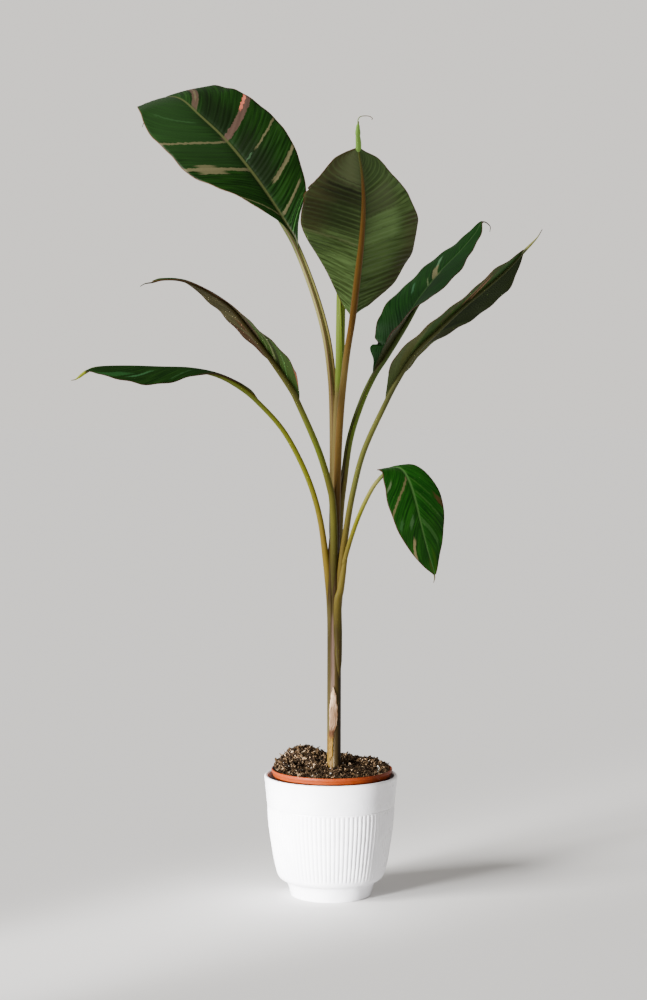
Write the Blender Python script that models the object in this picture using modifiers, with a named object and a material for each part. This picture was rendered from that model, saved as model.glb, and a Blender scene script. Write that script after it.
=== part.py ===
"""Potted banana plant: seven leaves on a sheathed stem, in a nursery pot inside a ribbed cover pot.

Metres, +Z up. The origin is the centre of the cover pot's foot, and the viewer stands at -Y.
"""

import math

import bmesh
import bpy
from mathutils import Vector, noise

MM = 0.001
GAP = 0.0003

# Cover pot: glazed, tapered, with a plain rim band over fine upright ribs
POT_HEIGHT = 0.1905
POT_RIM_RADIUS = 0.1048
POT_WALL = 0.0060
POT_FLOOR_TOP = 0.0160
FOOT_RADIUS = 0.0625
RIB_COUNT = 86
RIB_DEPTH = 0.0011
RIB_BOTTOM = 0.0345
RIB_TOP = 0.1410
SEAM_HEIGHT = 0.1435
LIP_RADIUS = POT_RIM_RADIUS - POT_WALL / 2
LIP_ROUNDING = 0.0028
LIP_DROP = 0.0015
POT_INSIDE = [
    # radius, height, from the middle of the floor up to the lip
    (0, POT_FLOOR_TOP),
    (0.0640, POT_FLOOR_TOP),
    (0.0783, 0.0345),
    (0.0864, 0.0690),
    (LIP_RADIUS - LIP_ROUNDING, POT_HEIGHT - LIP_DROP),
    (LIP_RADIUS, POT_HEIGHT),
]
POT_OUTSIDE = [
    # radius, height, from the lip down over the seam, the ribs and the waist to the foot
    (LIP_RADIUS + LIP_ROUNDING, POT_HEIGHT - LIP_DROP),
    (0.1003, SEAM_HEIGHT + 0.0012),
    (0.0994, SEAM_HEIGHT),
    (0.1000, RIB_TOP),
    (0.0905, 0.0600),
    (0.0843, RIB_BOTTOM),
    (0.0780, 0.0265),
    (0.0698, 0.0218),
    (FOOT_RADIUS, 0),
    (0, 0),
]

# Nursery pot: thin moulded plastic with a collar, standing on the cover pot's floor
NURSERY_OFFSET = 0.0015
NURSERY_TOP = 0.2005
NURSERY_RIM_RADIUS = 0.0950
NURSERY_WALL = 0.0016
COLLAR_HEIGHT = 0.0100
NURSERY_BASE_RADIUS = 0.0600
NURSERY_WALL_TOP = 0.0895
NURSERY_STEPS = 48
DRAIN_HOLES = 6
DRAIN_RADIUS = 0.0040
DRAIN_RING_RADIUS = 0.0420

# Compost and the stem that stands in it
STEM_X = 0.0045
STEM_RADIUS = 0.0112
STEM_BOTTOM = 0.1400
STEM_LEAN = 0.002
STEM_SHAPE = (
    # height, share of the stem's radius; above the last one the stalks' own feet are the stem
    (STEM_BOTTOM, 1.0),
    (0.200, 1.0),
    (0.300, 1.0),
    (0.400, 1.0),
    (0.480, 1.06),
    (0.535, 0.95),
    (0.590, 0.5),
)
SOIL_EDGE_HEIGHT = 0.1970
SOIL_CRUMB = 0.0050
SOIL_RINGS = 12
STEM_HOLE_SHARE = 1.09
SOIL_MOUNDS = (
    # centre x, centre y, height, radius
    (-0.030, 0.044, 0.023, 0.030),
    (-0.060, 0.034, 0.019, 0.026),
    (-0.080, 0.004, 0.008, 0.022),
    (0.024, 0.042, 0.014, 0.026),
    (0.064, 0.028, 0.013, 0.022),
    (0.004, 0.000, 0.006, 0.030),
)

BLADE_THICKNESS = 0.0008
BLADE_ROWS = 20
BLADE_COLUMNS = 4
CURVE_STEPS = 12
SLOPE_STEPS = 10
WAVED_FROM_WIDTH = 0.020
TUBE_STEP = 0.024
SHEATH_RADIUS = 0.0082
TAIL_RADIUS = 0.00045
TIP_RADIUS = 0.0011

# The youngest leaf, still rolled up like a cigar between the stalks of leaves 1 and 2
ROLLED_PATH = [(7, 2, 620), (9, 0, 732), (12, -1, 786), (14, -1, 840), (15, 0, 895), (16, 2, 949),
               (20, 4, 1026), (25, 6, 1088), (29, 7, 1127)]
ROLLED_LEAVES_STEM_AT = 792
ROLLED_RADII = [(0, 6.6), (0.3, 7.4), (0.6, 7.0), (0.85, 4.0), (1, 1.2)]

# What is left of an old leaf's sheath, dry and torn, against the front left of the stem
SCRAP_BOTTOM = 0.2140
SCRAP_TOP = 0.3320
SCRAP_ANGLES = (200, 275)
SCRAP_THICKNESS = 0.0006
SCRAP_ROWS = 10
SCRAP_COLUMNS = 8

# Each leaf's centre line is a smooth curve through the points of its stalk, midrib and tail, in
# millimetres. Each half has (place along the blade, width in millimetres) and (place, slope at the
# midrib, slope at the edge, in degrees). The sweep carries the edge towards the tip, the wave is
# (height in millimetres, how many along the blade), and radius is the stalk's own, in millimetres.
LEAVES = {
    "leaf_1": dict(
        azimuth=125,
        roll=[(0, -8), (0.5, -30), (1, -35)],
        stalk=[(4, 4, 465), (5, 6, 669), (4, 10, 763), (1, 16, 817), (-8, 30, 880), (-26, 52, 945)],
        midrib=[(-52, 80, 1014), (-73, 98, 1054), (-117, 130, 1125), (-167, 165, 1191),
                (-214, 205, 1239),
                (-246, 245, 1270), (-273, 285, 1279), (-294, 322, 1272), (-311, 352, 1258)],
        tail=[(-318, 362, 1250), (-322, 367, 1241)],
        left=[(0, 3), (0.1, 14), (0.2, 41), (0.3, 73), (0.45, 95), (0.6, 93), (0.75, 76),
              (0.9, 42), (1, 3)],
        right=[(0, 4), (0.1, 34), (0.2, 64), (0.35, 84), (0.45, 88), (0.6, 80), (0.75, 58),
               (0.9, 26), (1, 3)],
        left_slope=[(0, 30, 20), (0.5, 14, -4), (0.75, 15, 2), (1, 32, 20)],
        right_slope=[(0, 30, 20), (0.5, 14, -4), (0.7, 9, -9), (0.85, -8, -38), (1, -20, -50)],
        radius=6.4,
        leaves_stem_at=792,
        sweep=0.16,
        wave=(2.5, 4.0),
    ),
    "leaf_2": dict(
        azimuth=-84,
        roll=[(0, 0), (1, 0)],
        stalk=[(6, -4, 466), (9, -6, 623), (12, -12, 716), (17, -22, 785), (24, -42, 848)],
        midrib=[(32, -68, 899), (39, -105, 960), (45, -148, 1017), (47, -190, 1066), (44, -232, 1105),
                (38, -272, 1139)],
        tail=[(38, -290, 1155), (38, -305, 1174)],
        left=[(0, 4), (0.06, 31), (0.17, 70), (0.35, 87), (0.5, 87), (0.65, 70), (0.8, 46),
              (0.92, 24), (1, 2)],
        right=[(0, 4), (0.09, 24), (0.22, 47), (0.38, 78), (0.52, 92), (0.72, 85), (0.85, 62),
               (0.95, 38), (1, 3)],
        left_slope=[(0, 35, 25), (0.5, 16, 4), (1, 5, -10)],
        right_slope=[(0, 35, 25), (0.5, 16, 4), (1, 5, -10)],
        radius=6.6,
        leaves_stem_at=752,
        sweep=0.05,
        wave=(2.0, 4.5),
    ),
    "leaf_3": dict(
        azimuth=48,
        roll=[(0, -20), (0.5, -15), (1, -10)],
        stalk=[(7, 5, 465), (13, 8, 590), (20, 12, 653), (30, 18, 719), (49, 28, 777)],
        midrib=[(68, 36, 817), (86, 44, 844), (104, 53, 872), (120, 60, 898), (141, 72, 934),
                (173, 88, 976), (209, 108, 1014), (233, 124, 1043), (245, 134, 1063)],
        tail=[(257, 140, 1057), (257, 143, 1048)],
        left=[(0, 6), (0.14, 28), (0.28, 47), (0.48, 54), (0.7, 45), (0.87, 28), (0.96, 12), (1, 2)],
        right=[(0, 4), (0.15, 26), (0.35, 44), (0.62, 52), (0.78, 34), (0.9, 18), (1, 2)],
        left_slope=[(0, 45, 40), (0.3, 32, 25), (0.55, 12, 5), (1, 5, 0)],
        right_slope=[(0, 48, 42), (0.3, 35, 25), (0.5, 5, -8), (1, -5, -10)],
        radius=5.4,
        leaves_stem_at=648,
        sweep=0.16,
        wave=(1.2, 3.0),
    ),
    "leaf_4": dict(
        azimuth=-40,
        roll=[(0, 0), (1, 0)],
        stalk=[(9, -5, 403), (16, -9, 513), (23, -15, 572), (34, -26, 636), (51, -45, 702)],
        midrib=[(83, -74, 774), (102, -92, 811), (126, -110, 849), (157, -128, 880), (196, -146, 917),
                (238, -160, 952), (266, -168, 978), (285, -172, 1000)],
        tail=[(302, -176, 1018), (310, -178, 1031)],
        left=[(0, 3), (0.1, 10), (0.22, 24), (0.35, 24), (0.5, 29), (0.67, 40), (0.8, 36),
              (0.9, 20), (1, 2)],
        right=[(0, 3), (0.14, 19), (0.3, 36), (0.5, 30), (0.7, 25), (0.85, 28), (0.94, 13), (1, 2)],
        left_slope=[(0, 30, 25), (0.3, 5, -5), (0.6, -18, -22), (1, -20, -20)],
        right_slope=[(0, 20, 15), (0.4, 0, -5), (1, -5, -5)],
        radius=4.4,
        leaves_stem_at=545,
        sweep=0.16,
        wave=(1.0, 3.0),
    ),
    "leaf_5": dict(
        azimuth=215,
        roll=[(0, 0), (1, 0)],
        stalk=[(2, -4, 434), (5, -8, 548), (3, -14, 611), (-2, -20, 644), (-20, -36, 703)],
        midrib=[(-50, -62, 773), (-63, -73, 798), (-95, -96, 845), (-126, -118, 887), (-149, -134, 915),
                (-175, -148, 935), (-206, -162, 951), (-226, -170, 957), (-248, -177, 957),
                (-263, -182, 953)],
        tail=[(-274, -185, 951), (-281, -186, 947)],
        left=[(0, 4), (0.12, 22), (0.28, 36), (0.45, 34), (0.6, 28), (0.8, 15), (0.93, 8), (1, 2)],
        right=[(0, 4), (0.12, 20), (0.3, 27), (0.45, 30), (0.58, 31), (0.68, 28), (0.8, 13),
               (0.93, 8), (1, 2)],
        left_slope=[(0, 20, 15), (0.3, 5, 0), (0.5, -14, -18), (0.7, -17, -22), (1, -20, -30)],
        right_slope=[(0, 25, 22), (0.2, 14, 12), (0.35, 2, -3), (0.55, -14, -18),
                     (0.75, -10, -15), (1, 0, 0)],
        radius=5.0,
        leaves_stem_at=642,
        sweep=0.16,
        wave=(1.0, 2.5),
    ),
    "leaf_6": dict(
        azimuth=192,
        roll=[(0, 0), (1, 0)],
        stalk=[(-1, 0, 387), (-2, 0, 470), (-8, -2, 532), (-18, -6, 599), (-38, -14, 663),
               (-72, -26, 729)],
        midrib=[(-113, -38, 776), (-143, -46, 800), (-176, -53, 817), (-216, -59, 825),
                (-261, -64, 827), (-311, -69, 829), (-355, -72, 828), (-373, -74, 822)],
        tail=[(-388, -76, 811), (-396, -77, 809)],
        left=[(0, 3), (0.1, 8), (0.25, 7), (0.35, 17), (0.47, 32), (0.6, 45), (0.68, 48),
              (0.8, 36), (0.94, 19), (1, 4)],
        right=[(0, 3), (0.1, 8), (0.25, 10), (0.38, 20), (0.6, 36), (0.75, 36), (0.9, 22), (1, 4)],
        left_slope=[(0, 40, 20), (0.12, 20, -10), (0.28, -20, -40), (0.45, -32, -42),
                    (0.7, -34, -44), (1, -30, -40)],
        right_slope=[(0, 40, 30), (0.2, 10, 0), (0.4, -25, -35), (0.7, -32, -40), (1, -40, -40)],
        radius=4.4,
        leaves_stem_at=558,
        sweep=0.16,
        wave=(0.8, 3.0),
    ),
    "leaf_7": dict(
        azimuth=-52,
        roll=[(0, 10), (0.4, 20), (1, 20)],
        stalk=[(4, -6, 340), (6, -9, 455), (12, -11, 484), (24, -22, 540), (41, -42, 595),
               (62, -66, 642)],
        midrib=[(80, -86, 666), (94, -100, 674), (107, -113, 671), (118, -126, 652), (126, -137, 626),
                (133, -145, 596), (143, -150, 557), (154, -152, 519)],
        tail=[(153, -152, 507)],
        left=[(0, 4), (0.12, 10), (0.2, 24), (0.3, 35), (0.45, 43), (0.6, 40), (0.8, 25),
              (0.92, 12), (1, 2)],
        right=[(0, 16), (0.1, 30), (0.22, 38), (0.42, 44), (0.6, 40), (0.78, 28), (0.92, 14), (1, 2)],
        left_slope=[(0, 10, 0), (0.5, 5, -10), (1, 0, -10)],
        right_slope=[(0, 10, 0), (0.5, 5, -10), (1, 0, -10)],
        radius=3.4,
        leaves_stem_at=535,
        sweep=0.06,
        wave=(1.0, 4.0),
    ),
}


def clear_scene():
    for obj in list(bpy.data.objects):
        bpy.data.objects.remove(obj, do_unlink=True)


def new_collection(name, hidden=False):
    collection = bpy.data.collections.new(name)
    bpy.context.scene.collection.children.link(collection)
    collection.hide_render = hidden
    return collection


def finish(name, color, roughness, metallic=0.0):
    material = bpy.data.materials.new(name)
    material.use_nodes = True
    shader = material.node_tree.nodes["Principled BSDF"]
    shader.inputs["Base Color"].default_value = (*color, 1)
    shader.inputs["Roughness"].default_value = roughness
    shader.inputs["Metallic"].default_value = metallic
    return material


def add_object(name, data, collection, material):
    obj = bpy.data.objects.new(name, data)
    collection.objects.link(obj)
    obj.data.materials.clear()
    obj.data.materials.append(material)
    return obj


def applied_mesh(obj):
    """The object's mesh as its modifiers leave it; the object itself is removed."""
    bpy.context.view_layer.update()
    evaluated = obj.evaluated_get(bpy.context.evaluated_depsgraph_get())
    mesh = bpy.data.meshes.new_from_object(evaluated)
    bpy.data.objects.remove(obj, do_unlink=True)
    return mesh


def turned(name, profile, steps, collection, material):
    """A solid turned from (radius, height) points that run down its outer side at +X."""
    mesh = bpy.data.meshes.new(name)
    points = [(radius, 0, height) for radius, height in profile]
    mesh.from_pydata(points, [(i, i + 1) for i in range(len(points) - 1)], [])
    obj = add_object(name, mesh, collection, material)
    screw = obj.modifiers.new("Screw", "SCREW")
    screw.axis = "Z"
    screw.steps = steps
    screw.render_steps = steps
    screw.use_merge_vertices = True
    screw.merge_threshold = 0.00005
    screw.use_smooth_shade = False
    return obj


def catmull_rom(points):
    """A smooth curve through the points."""
    ends = [2 * points[0] - points[1], *points, 2 * points[-1] - points[-2]]
    curve = []
    for a, b, c, d in zip(ends, ends[1:], ends[2:], ends[3:]):
        for k in range(CURVE_STEPS):
            t = k / CURVE_STEPS
            bend = (2 * a - 5 * b + 4 * c - d) * t * t + (3 * b - a - 3 * c + d) * t**3
            curve.append(0.5 * (2 * b + (c - a) * t + bend))
    curve.append(points[-1].copy())
    return curve


def smooth_table(pairs, place):
    """The value at a place in (place, value) pairs, joined smoothly and without overshoot."""
    place = min(max(place, pairs[0][0]), pairs[-1][0])
    slopes = [(b[1] - a[1]) / (b[0] - a[0]) for a, b in zip(pairs, pairs[1:])]
    tangents = [slopes[0]]
    for before, after in zip(slopes, slopes[1:]):
        tangents.append(0 if before * after <= 0 else 2 * before * after / (before + after))
    tangents.append(slopes[-1])
    i = max(k for k in range(len(slopes)) if pairs[k][0] <= place)
    step = pairs[i + 1][0] - pairs[i][0]
    u = (place - pairs[i][0]) / step
    return (
        (1 + 2 * u) * (1 - u) ** 2 * pairs[i][1]
        + u * (1 - u) ** 2 * step * tangents[i]
        + u * u * (3 - 2 * u) * pairs[i + 1][1]
        + u * u * (u - 1) * step * tangents[i + 1]
    )


class LeafShape:
    """A leaf's centre line with its side and up directions, and the surface of its blade."""

    def __init__(self, leaf):
        self.leaf = leaf
        points = [Vector(p) * MM for p in leaf["stalk"] + leaf["midrib"] + leaf["tail"]]
        self.line = catmull_rom(points)
        self.run = [0.0]
        for a, b in zip(self.line, self.line[1:]):
            self.run.append(self.run[-1] + (b - a).length)
        self.blade_start = self.run[CURVE_STEPS * len(leaf["stalk"])]
        self.blade_end = self.run[CURVE_STEPS * (len(leaf["stalk"]) + len(leaf["midrib"]) - 1)]
        angle = math.radians(leaf["azimuth"])
        self.level = Vector((-math.sin(angle), math.cos(angle), 0))

    def place(self, run):
        return (run - self.blade_start) / (self.blade_end - self.blade_start)

    def on_line(self, run):
        run = min(max(run, 0), self.run[-1] - 1e-9)
        i = next(k for k in range(len(self.run) - 1) if self.run[k + 1] >= run)
        part = (run - self.run[i]) / (self.run[i + 1] - self.run[i])
        return self.line[i].lerp(self.line[i + 1], part)

    def frame(self, place):
        """Point, side (to the leaf's left) and up directions at a place along the blade."""
        run = self.blade_start + place * (self.blade_end - self.blade_start)
        reach = 0.004
        along = (self.on_line(run + reach) - self.on_line(run - reach)).normalized()
        side = (self.level - along * self.level.dot(along)).normalized()
        up = along.cross(side)
        roll = math.radians(smooth_table(self.leaf["roll"], min(max(place, 0), 1)))
        turned_side = side * math.cos(roll) + up * math.sin(roll)
        return self.on_line(run), turned_side, up * math.cos(roll) - side * math.sin(roll)

    def radius(self, run):
        """Radius of the stalk, midrib and tail, in metres."""
        petiole = self.leaf["radius"] * MM
        end = self.place(self.run[-1])
        start = self.place(0)
        radii = [
            (start, SHEATH_RADIUS),
            (start * 0.5, petiole * 1.1),
            (0, petiole * 0.92),
            (0.5, petiole * 0.6),
            (1, TIP_RADIUS),
            (end, TAIL_RADIUS),
        ]
        return smooth_table(radii, self.place(run))

    def blade_point(self, half, along, across):
        """A point of the blade's middle layer; half is 1 for the left and -1 for the right."""
        leaf = self.leaf
        name = "left" if half > 0 else "right"
        place = along + (1 - along) * leaf["sweep"] * across**1.4
        width = smooth_table(leaf[name], place) * MM
        slopes = leaf[name + "_slope"]
        inner = math.radians(smooth_table([(p, a) for p, a, b in slopes], place))
        outer = math.radians(smooth_table([(p, b) for p, a, b in slopes], place))
        other = leaf[("right" if half > 0 else "left") + "_slope"]
        other_inner = math.radians(smooth_table([(p, a) for p, a, b in other], place))
        steepest = min(inner, other_inner, 0)
        run = self.blade_start + place * (self.blade_end - self.blade_start)
        lift = (self.radius(run) + GAP * 2 + BLADE_THICKNESS / 2) / math.cos(steepest)
        out, rise = 0.0, 0.0
        for k in range(SLOPE_STEPS):
            slope = inner + (outer - inner) * (k + 0.5) / SLOPE_STEPS * across
            out += math.cos(slope) * across / SLOPE_STEPS
            rise += math.sin(slope) * across / SLOPE_STEPS
        height, waves = leaf["wave"]
        ripple = height * MM * across**2 * math.sin(2 * math.pi * waves * place + half)
        ripple *= min(1, width / WAVED_FROM_WIDTH)
        middle, side, up = self.frame(place)
        return middle + side * (half * out * width) + up * (lift + rise * width + ripple)


def tube(name, line, radii, collection, material):
    """A tube along a line, with its own radius at each point."""
    curve = bpy.data.curves.new(name, "CURVE")
    curve.dimensions = "3D"
    curve.bevel_depth = MM
    curve.bevel_resolution = 2
    curve.use_fill_caps = True
    spline = curve.splines.new("POLY")
    spline.points.add(len(line) - 1)
    for point, place, radius in zip(spline.points, line, radii):
        point.co = (*place, 1)
        point.radius = radius / MM
    return add_object(name, curve, collection, material)


def runs_between(start, end):
    """Even steps, with a short one at each end so that the cut faces there lie square to the line."""
    short = 0.0015
    count = max(3, round((end - start) / TUBE_STEP))
    inner = [start + (end - start) * k / count for k in range(1, count)]
    return [start, start + short, *inner, end - short, end]


def run_at_height(shape, height):
    """How far along the centre line it first reaches this height."""
    return next(run for run, point in zip(shape.run, shape.line) if point.z >= height)


def build_stalk(name, shape, collection, material):
    """The leaf's stalk from where it leaves the stem; it goes on as the blade's rib and as the tail."""
    start = run_at_height(shape, shape.leaf["leaves_stem_at"] * MM) + GAP
    runs = runs_between(start, shape.run[-1])
    line = [shape.on_line(run) for run in runs]
    return tube(name, line, [shape.radius(run) for run in runs], collection, material)


def build_blade(name, shape, collection, material):
    """A thin waved sheet lying over the rib, as a grid split into triangles and then thickened."""
    grid = bmesh.new()
    rows = []
    outwards = [j / BLADE_COLUMNS for j in range(BLADE_COLUMNS + 1)]
    for i in range(BLADE_ROWS + 1):
        along = i / BLADE_ROWS
        left = [shape.blade_point(1, along, across) for across in reversed(outwards[1:])]
        right = [shape.blade_point(-1, along, across) for across in outwards]
        rows.append([grid.verts.new(point) for point in left + right])
    for near, far in zip(rows, rows[1:]):
        for j in range(len(near) - 1):
            grid.faces.new((near[j], near[j + 1], far[j + 1], far[j]))
    bmesh.ops.triangulate(grid, faces=grid.faces[:], quad_method="FIXED")
    mesh = bpy.data.meshes.new(name)
    grid.to_mesh(mesh)
    grid.free()
    blade = add_object(name, mesh, collection, material)
    solidify = blade.modifiers.new("Thickness", "SOLIDIFY")
    solidify.thickness = BLADE_THICKNESS
    solidify.offset = 0
    return blade


def union(name, pieces, collection, material):
    """One mesh from overlapping pieces, which are removed."""
    first, *others = pieces
    joined = new_collection(name + "_pieces", hidden=True)
    for piece in others:
        for owner in list(piece.users_collection):
            owner.objects.unlink(piece)
        joined.objects.link(piece)
    boolean = first.modifiers.new("Union", "BOOLEAN")
    boolean.operation = "UNION"
    boolean.operand_type = "COLLECTION"
    boolean.collection = joined
    boolean.solver = "EXACT"
    mesh = applied_mesh(first)
    for piece in list(joined.objects):
        bpy.data.objects.remove(piece, do_unlink=True)
    bpy.data.collections.remove(joined)
    return add_object(name, mesh, collection, material)


def closed_mesh(curve, collection, material):
    """A curve made a mesh whose caps are welded to its sides."""
    name = curve.name
    mesh = applied_mesh(curve)
    work = bmesh.new()
    work.from_mesh(mesh)
    bmesh.ops.remove_doubles(work, verts=work.verts[:], dist=0.00001)
    work.to_mesh(mesh)
    work.free()
    return add_object(name + "_piece", mesh, collection, material)


def rolled_leaf_line():
    """The rolled leaf's centre line in two: the part inside the stem, and the part above it."""
    line = catmull_rom([Vector(p) * MM for p in ROLLED_PATH])
    split = next(i for i, point in enumerate(line) if point.z >= ROLLED_LEAVES_STEM_AT * MM)
    foot = line[: split + 1 : 3]
    return foot, [point for point in line if point.z > foot[-1].z + GAP]


def stem_x_at(height):
    return STEM_X + STEM_LEAN * (height - STEM_BOTTOM)


def build_pseudostem(shapes, collection, material):
    """The stem of tightly wrapped sheaths, with the foot of each stalk grown out of it."""
    line = [Vector((stem_x_at(height), 0, height)) for height, _ in STEM_SHAPE]
    radii = [STEM_RADIUS * share for _, share in STEM_SHAPE]
    pieces = [closed_mesh(tube("core", line, radii, collection, material), collection, material)]
    for name, shape in shapes.items():
        end = run_at_height(shape, shape.leaf["leaves_stem_at"] * MM)
        runs = runs_between(0, end)
        line = [shape.on_line(run) for run in runs]
        foot = tube(name, line, [shape.radius(run) for run in runs], collection, material)
        pieces.append(closed_mesh(foot, collection, material))
    foot_line, _ = rolled_leaf_line()
    foot = tube("rolled", foot_line, [ROLLED_RADII[0][1] * MM] * len(foot_line), collection, material)
    pieces.append(closed_mesh(foot, collection, material))
    return union("pseudostem", pieces, collection, material)


def build_rolled_leaf(collection, material):
    foot, above = rolled_leaf_line()
    line = [foot[-1] + Vector((0, 0, GAP)), *above[::4], above[-1]]
    radii = [smooth_table(ROLLED_RADII, i / (len(line) - 1)) * MM for i in range(len(line))]
    return tube("rolled_leaf", line, radii, collection, material)


def build_dry_sheath(collection, material):
    """A curved scrap with a torn lower and upper edge, a hair's breadth off the stem."""
    grid = bmesh.new()
    rows, columns = SCRAP_ROWS, SCRAP_COLUMNS
    start, end = (math.radians(a) for a in SCRAP_ANGLES)
    radius = STEM_RADIUS + GAP + SCRAP_THICKNESS
    lines = []
    for i in range(rows + 1):
        line = []
        for j in range(columns + 1):
            u = j / columns
            low = SCRAP_BOTTOM + 0.010 * u + 0.003 * math.sin(11 * u)
            high = SCRAP_TOP - 0.045 * abs(u - 0.45) - 0.004 * math.cos(14 * u)
            z = low + (high - low) * i / rows
            angle = start + (end - start) * u
            away = radius + 0.0008 * (i / rows) ** 3 + 0.0003 * math.sin(9 * u + 0.4 * i) ** 2
            x = stem_x_at(z) + away * math.cos(angle)
            line.append(grid.verts.new((x, away * math.sin(angle), z)))
        lines.append(line)
    for near, far in zip(lines, lines[1:]):
        for j in range(columns):
            grid.faces.new((near[j], near[j + 1], far[j + 1], far[j]))
    bmesh.ops.triangulate(grid, faces=grid.faces[:], quad_method="FIXED")
    mesh = bpy.data.meshes.new("dry_sheath")
    grid.to_mesh(mesh)
    grid.free()
    scrap = add_object("dry_sheath", mesh, collection, material)
    solidify = scrap.modifiers.new("Thickness", "SOLIDIFY")
    solidify.thickness = SCRAP_THICKNESS
    solidify.offset = 0
    return scrap


def build_cover_pot(collection, material):
    """A turned shell; the fine upright ribs are waves pushed into its outer side."""
    mesh = applied_mesh(turned("cover_pot", POT_INSIDE + POT_OUTSIDE, 2 * RIB_COUNT, collection, material))
    rib_rows = {(round(r, 5), round(z, 5)) for r, z in POT_OUTSIDE if RIB_BOTTOM <= z <= RIB_TOP}
    for vertex in mesh.vertices:
        radius = math.hypot(vertex.co.x, vertex.co.y)
        if (round(radius, 5), round(vertex.co.z, 5)) in rib_rows:
            crest = 0.5 + 0.5 * math.cos(RIB_COUNT * math.atan2(vertex.co.y, vertex.co.x))
            scale = 1 - RIB_DEPTH * (1 - crest) / radius
            vertex.co.x *= scale
            vertex.co.y *= scale
    return add_object("cover_pot", mesh, collection, material)


def nursery_profile():
    """The nursery pot's (radius, height) points, from its floor up inside and down outside."""
    floor = POT_FLOOR_TOP + GAP
    shoulder = NURSERY_TOP - COLLAR_HEIGHT
    return [
        (0, floor + NURSERY_WALL),
        (NURSERY_BASE_RADIUS - NURSERY_WALL, floor + NURSERY_WALL),
        (NURSERY_WALL_TOP - NURSERY_WALL, shoulder),
        (NURSERY_RIM_RADIUS - NURSERY_WALL - 0.0012, NURSERY_TOP - 0.0060),
        (NURSERY_RIM_RADIUS - NURSERY_WALL - 0.0004, NURSERY_TOP - 0.0004),
        (NURSERY_RIM_RADIUS - 0.0010, NURSERY_TOP),
        (NURSERY_RIM_RADIUS, NURSERY_TOP - 0.0012),
        (NURSERY_RIM_RADIUS - 0.0006, NURSERY_TOP - 0.0052),
        (NURSERY_RIM_RADIUS - 0.0016, NURSERY_TOP - 0.0058),
        (NURSERY_RIM_RADIUS - 0.0024, shoulder - 0.0006),
        (NURSERY_WALL_TOP, shoulder - 0.0012),
        (NURSERY_BASE_RADIUS, floor),
        (0, floor),
    ]


def build_nursery_pot(collection, cutters, material):
    pot = turned("nursery_pot", nursery_profile(), NURSERY_STEPS, collection, material)
    pot.location.x = NURSERY_OFFSET
    holes = bmesh.new()
    for k in range(DRAIN_HOLES):
        angle = 2 * math.pi * (k + 0.5) / DRAIN_HOLES
        made = bmesh.ops.create_cone(
            holes, cap_ends=True, segments=12, radius1=DRAIN_RADIUS, radius2=DRAIN_RADIUS, depth=0.01
        )
        centre = (DRAIN_RING_RADIUS * math.cos(angle) + NURSERY_OFFSET, DRAIN_RING_RADIUS * math.sin(angle))
        bmesh.ops.translate(holes, verts=made["verts"], vec=(*centre, POT_FLOOR_TOP + NURSERY_WALL / 2))
    mesh = bpy.data.meshes.new("drain_holes")
    holes.to_mesh(mesh)
    holes.free()
    cutter = add_object("drain_holes", mesh, cutters, material)
    cutter.hide_render = True
    cutter.display_type = "WIRE"
    boolean = pot.modifiers.new("Drain holes", "BOOLEAN")
    boolean.operation = "DIFFERENCE"
    boolean.object = cutter
    boolean.solver = "EXACT"
    return pot


def soil_height(x, y):
    """Height of the compost's heaped, crumbly surface."""
    edge = math.hypot(x, y) / (NURSERY_RIM_RADIUS - NURSERY_WALL)
    height = SOIL_EDGE_HEIGHT
    for centre_x, centre_y, top, radius in SOIL_MOUNDS:
        away = ((x - centre_x) ** 2 + (y - centre_y) ** 2) / radius**2
        height += top * math.exp(-away)
    crumbs = noise.noise(Vector((x, y, 0.3)) * 130) + 0.6 * noise.noise(Vector((x, y, 1.7)) * 290)
    return height + SOIL_CRUMB * crumbs * min(1, 1.6 - edge)


def build_soil(collection, material):
    """The compost: a plug that fills the nursery pot, heaped on top, with a hole where the stem stands."""
    floor = POT_FLOOR_TOP + NURSERY_WALL + 2 * GAP
    shoulder = NURSERY_TOP - COLLAR_HEIGHT
    hole = STEM_RADIUS * STEM_HOLE_SHARE
    top_radius = NURSERY_RIM_RADIUS - NURSERY_WALL - 0.0018
    profile = [(0, STEM_BOTTOM - GAP), (hole, STEM_BOTTOM - GAP)]
    for k in range(SOIL_RINGS + 1):
        profile.append((hole + (top_radius - hole) * (k / SOIL_RINGS) ** 0.85, SOIL_EDGE_HEIGHT))
    profile += [
        (top_radius - 0.0004, NURSERY_TOP - 0.0058),
        (NURSERY_WALL_TOP - NURSERY_WALL - 0.0010, shoulder),
        (NURSERY_BASE_RADIUS - NURSERY_WALL - GAP * 2, floor),
        (0, floor),
    ]
    mesh = applied_mesh(turned("potting_soil", profile, NURSERY_STEPS, collection, material))
    for vertex in mesh.vertices:
        radius = math.hypot(vertex.co.x, vertex.co.y)
        outward = (radius - hole) / (top_radius - hole)
        if vertex.co.z > STEM_BOTTOM - 0.001 and outward < 0.001:
            vertex.co.x += STEM_X
        elif vertex.co.z > SOIL_EDGE_HEIGHT - 0.001:
            vertex.co.x += STEM_X + (NURSERY_OFFSET - STEM_X) * outward
        else:
            vertex.co.x += NURSERY_OFFSET
        if vertex.co.z > SOIL_EDGE_HEIGHT - 0.001:
            vertex.co.z = soil_height(vertex.co.x, vertex.co.y)
    return add_object("potting_soil", mesh, collection, material)


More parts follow.
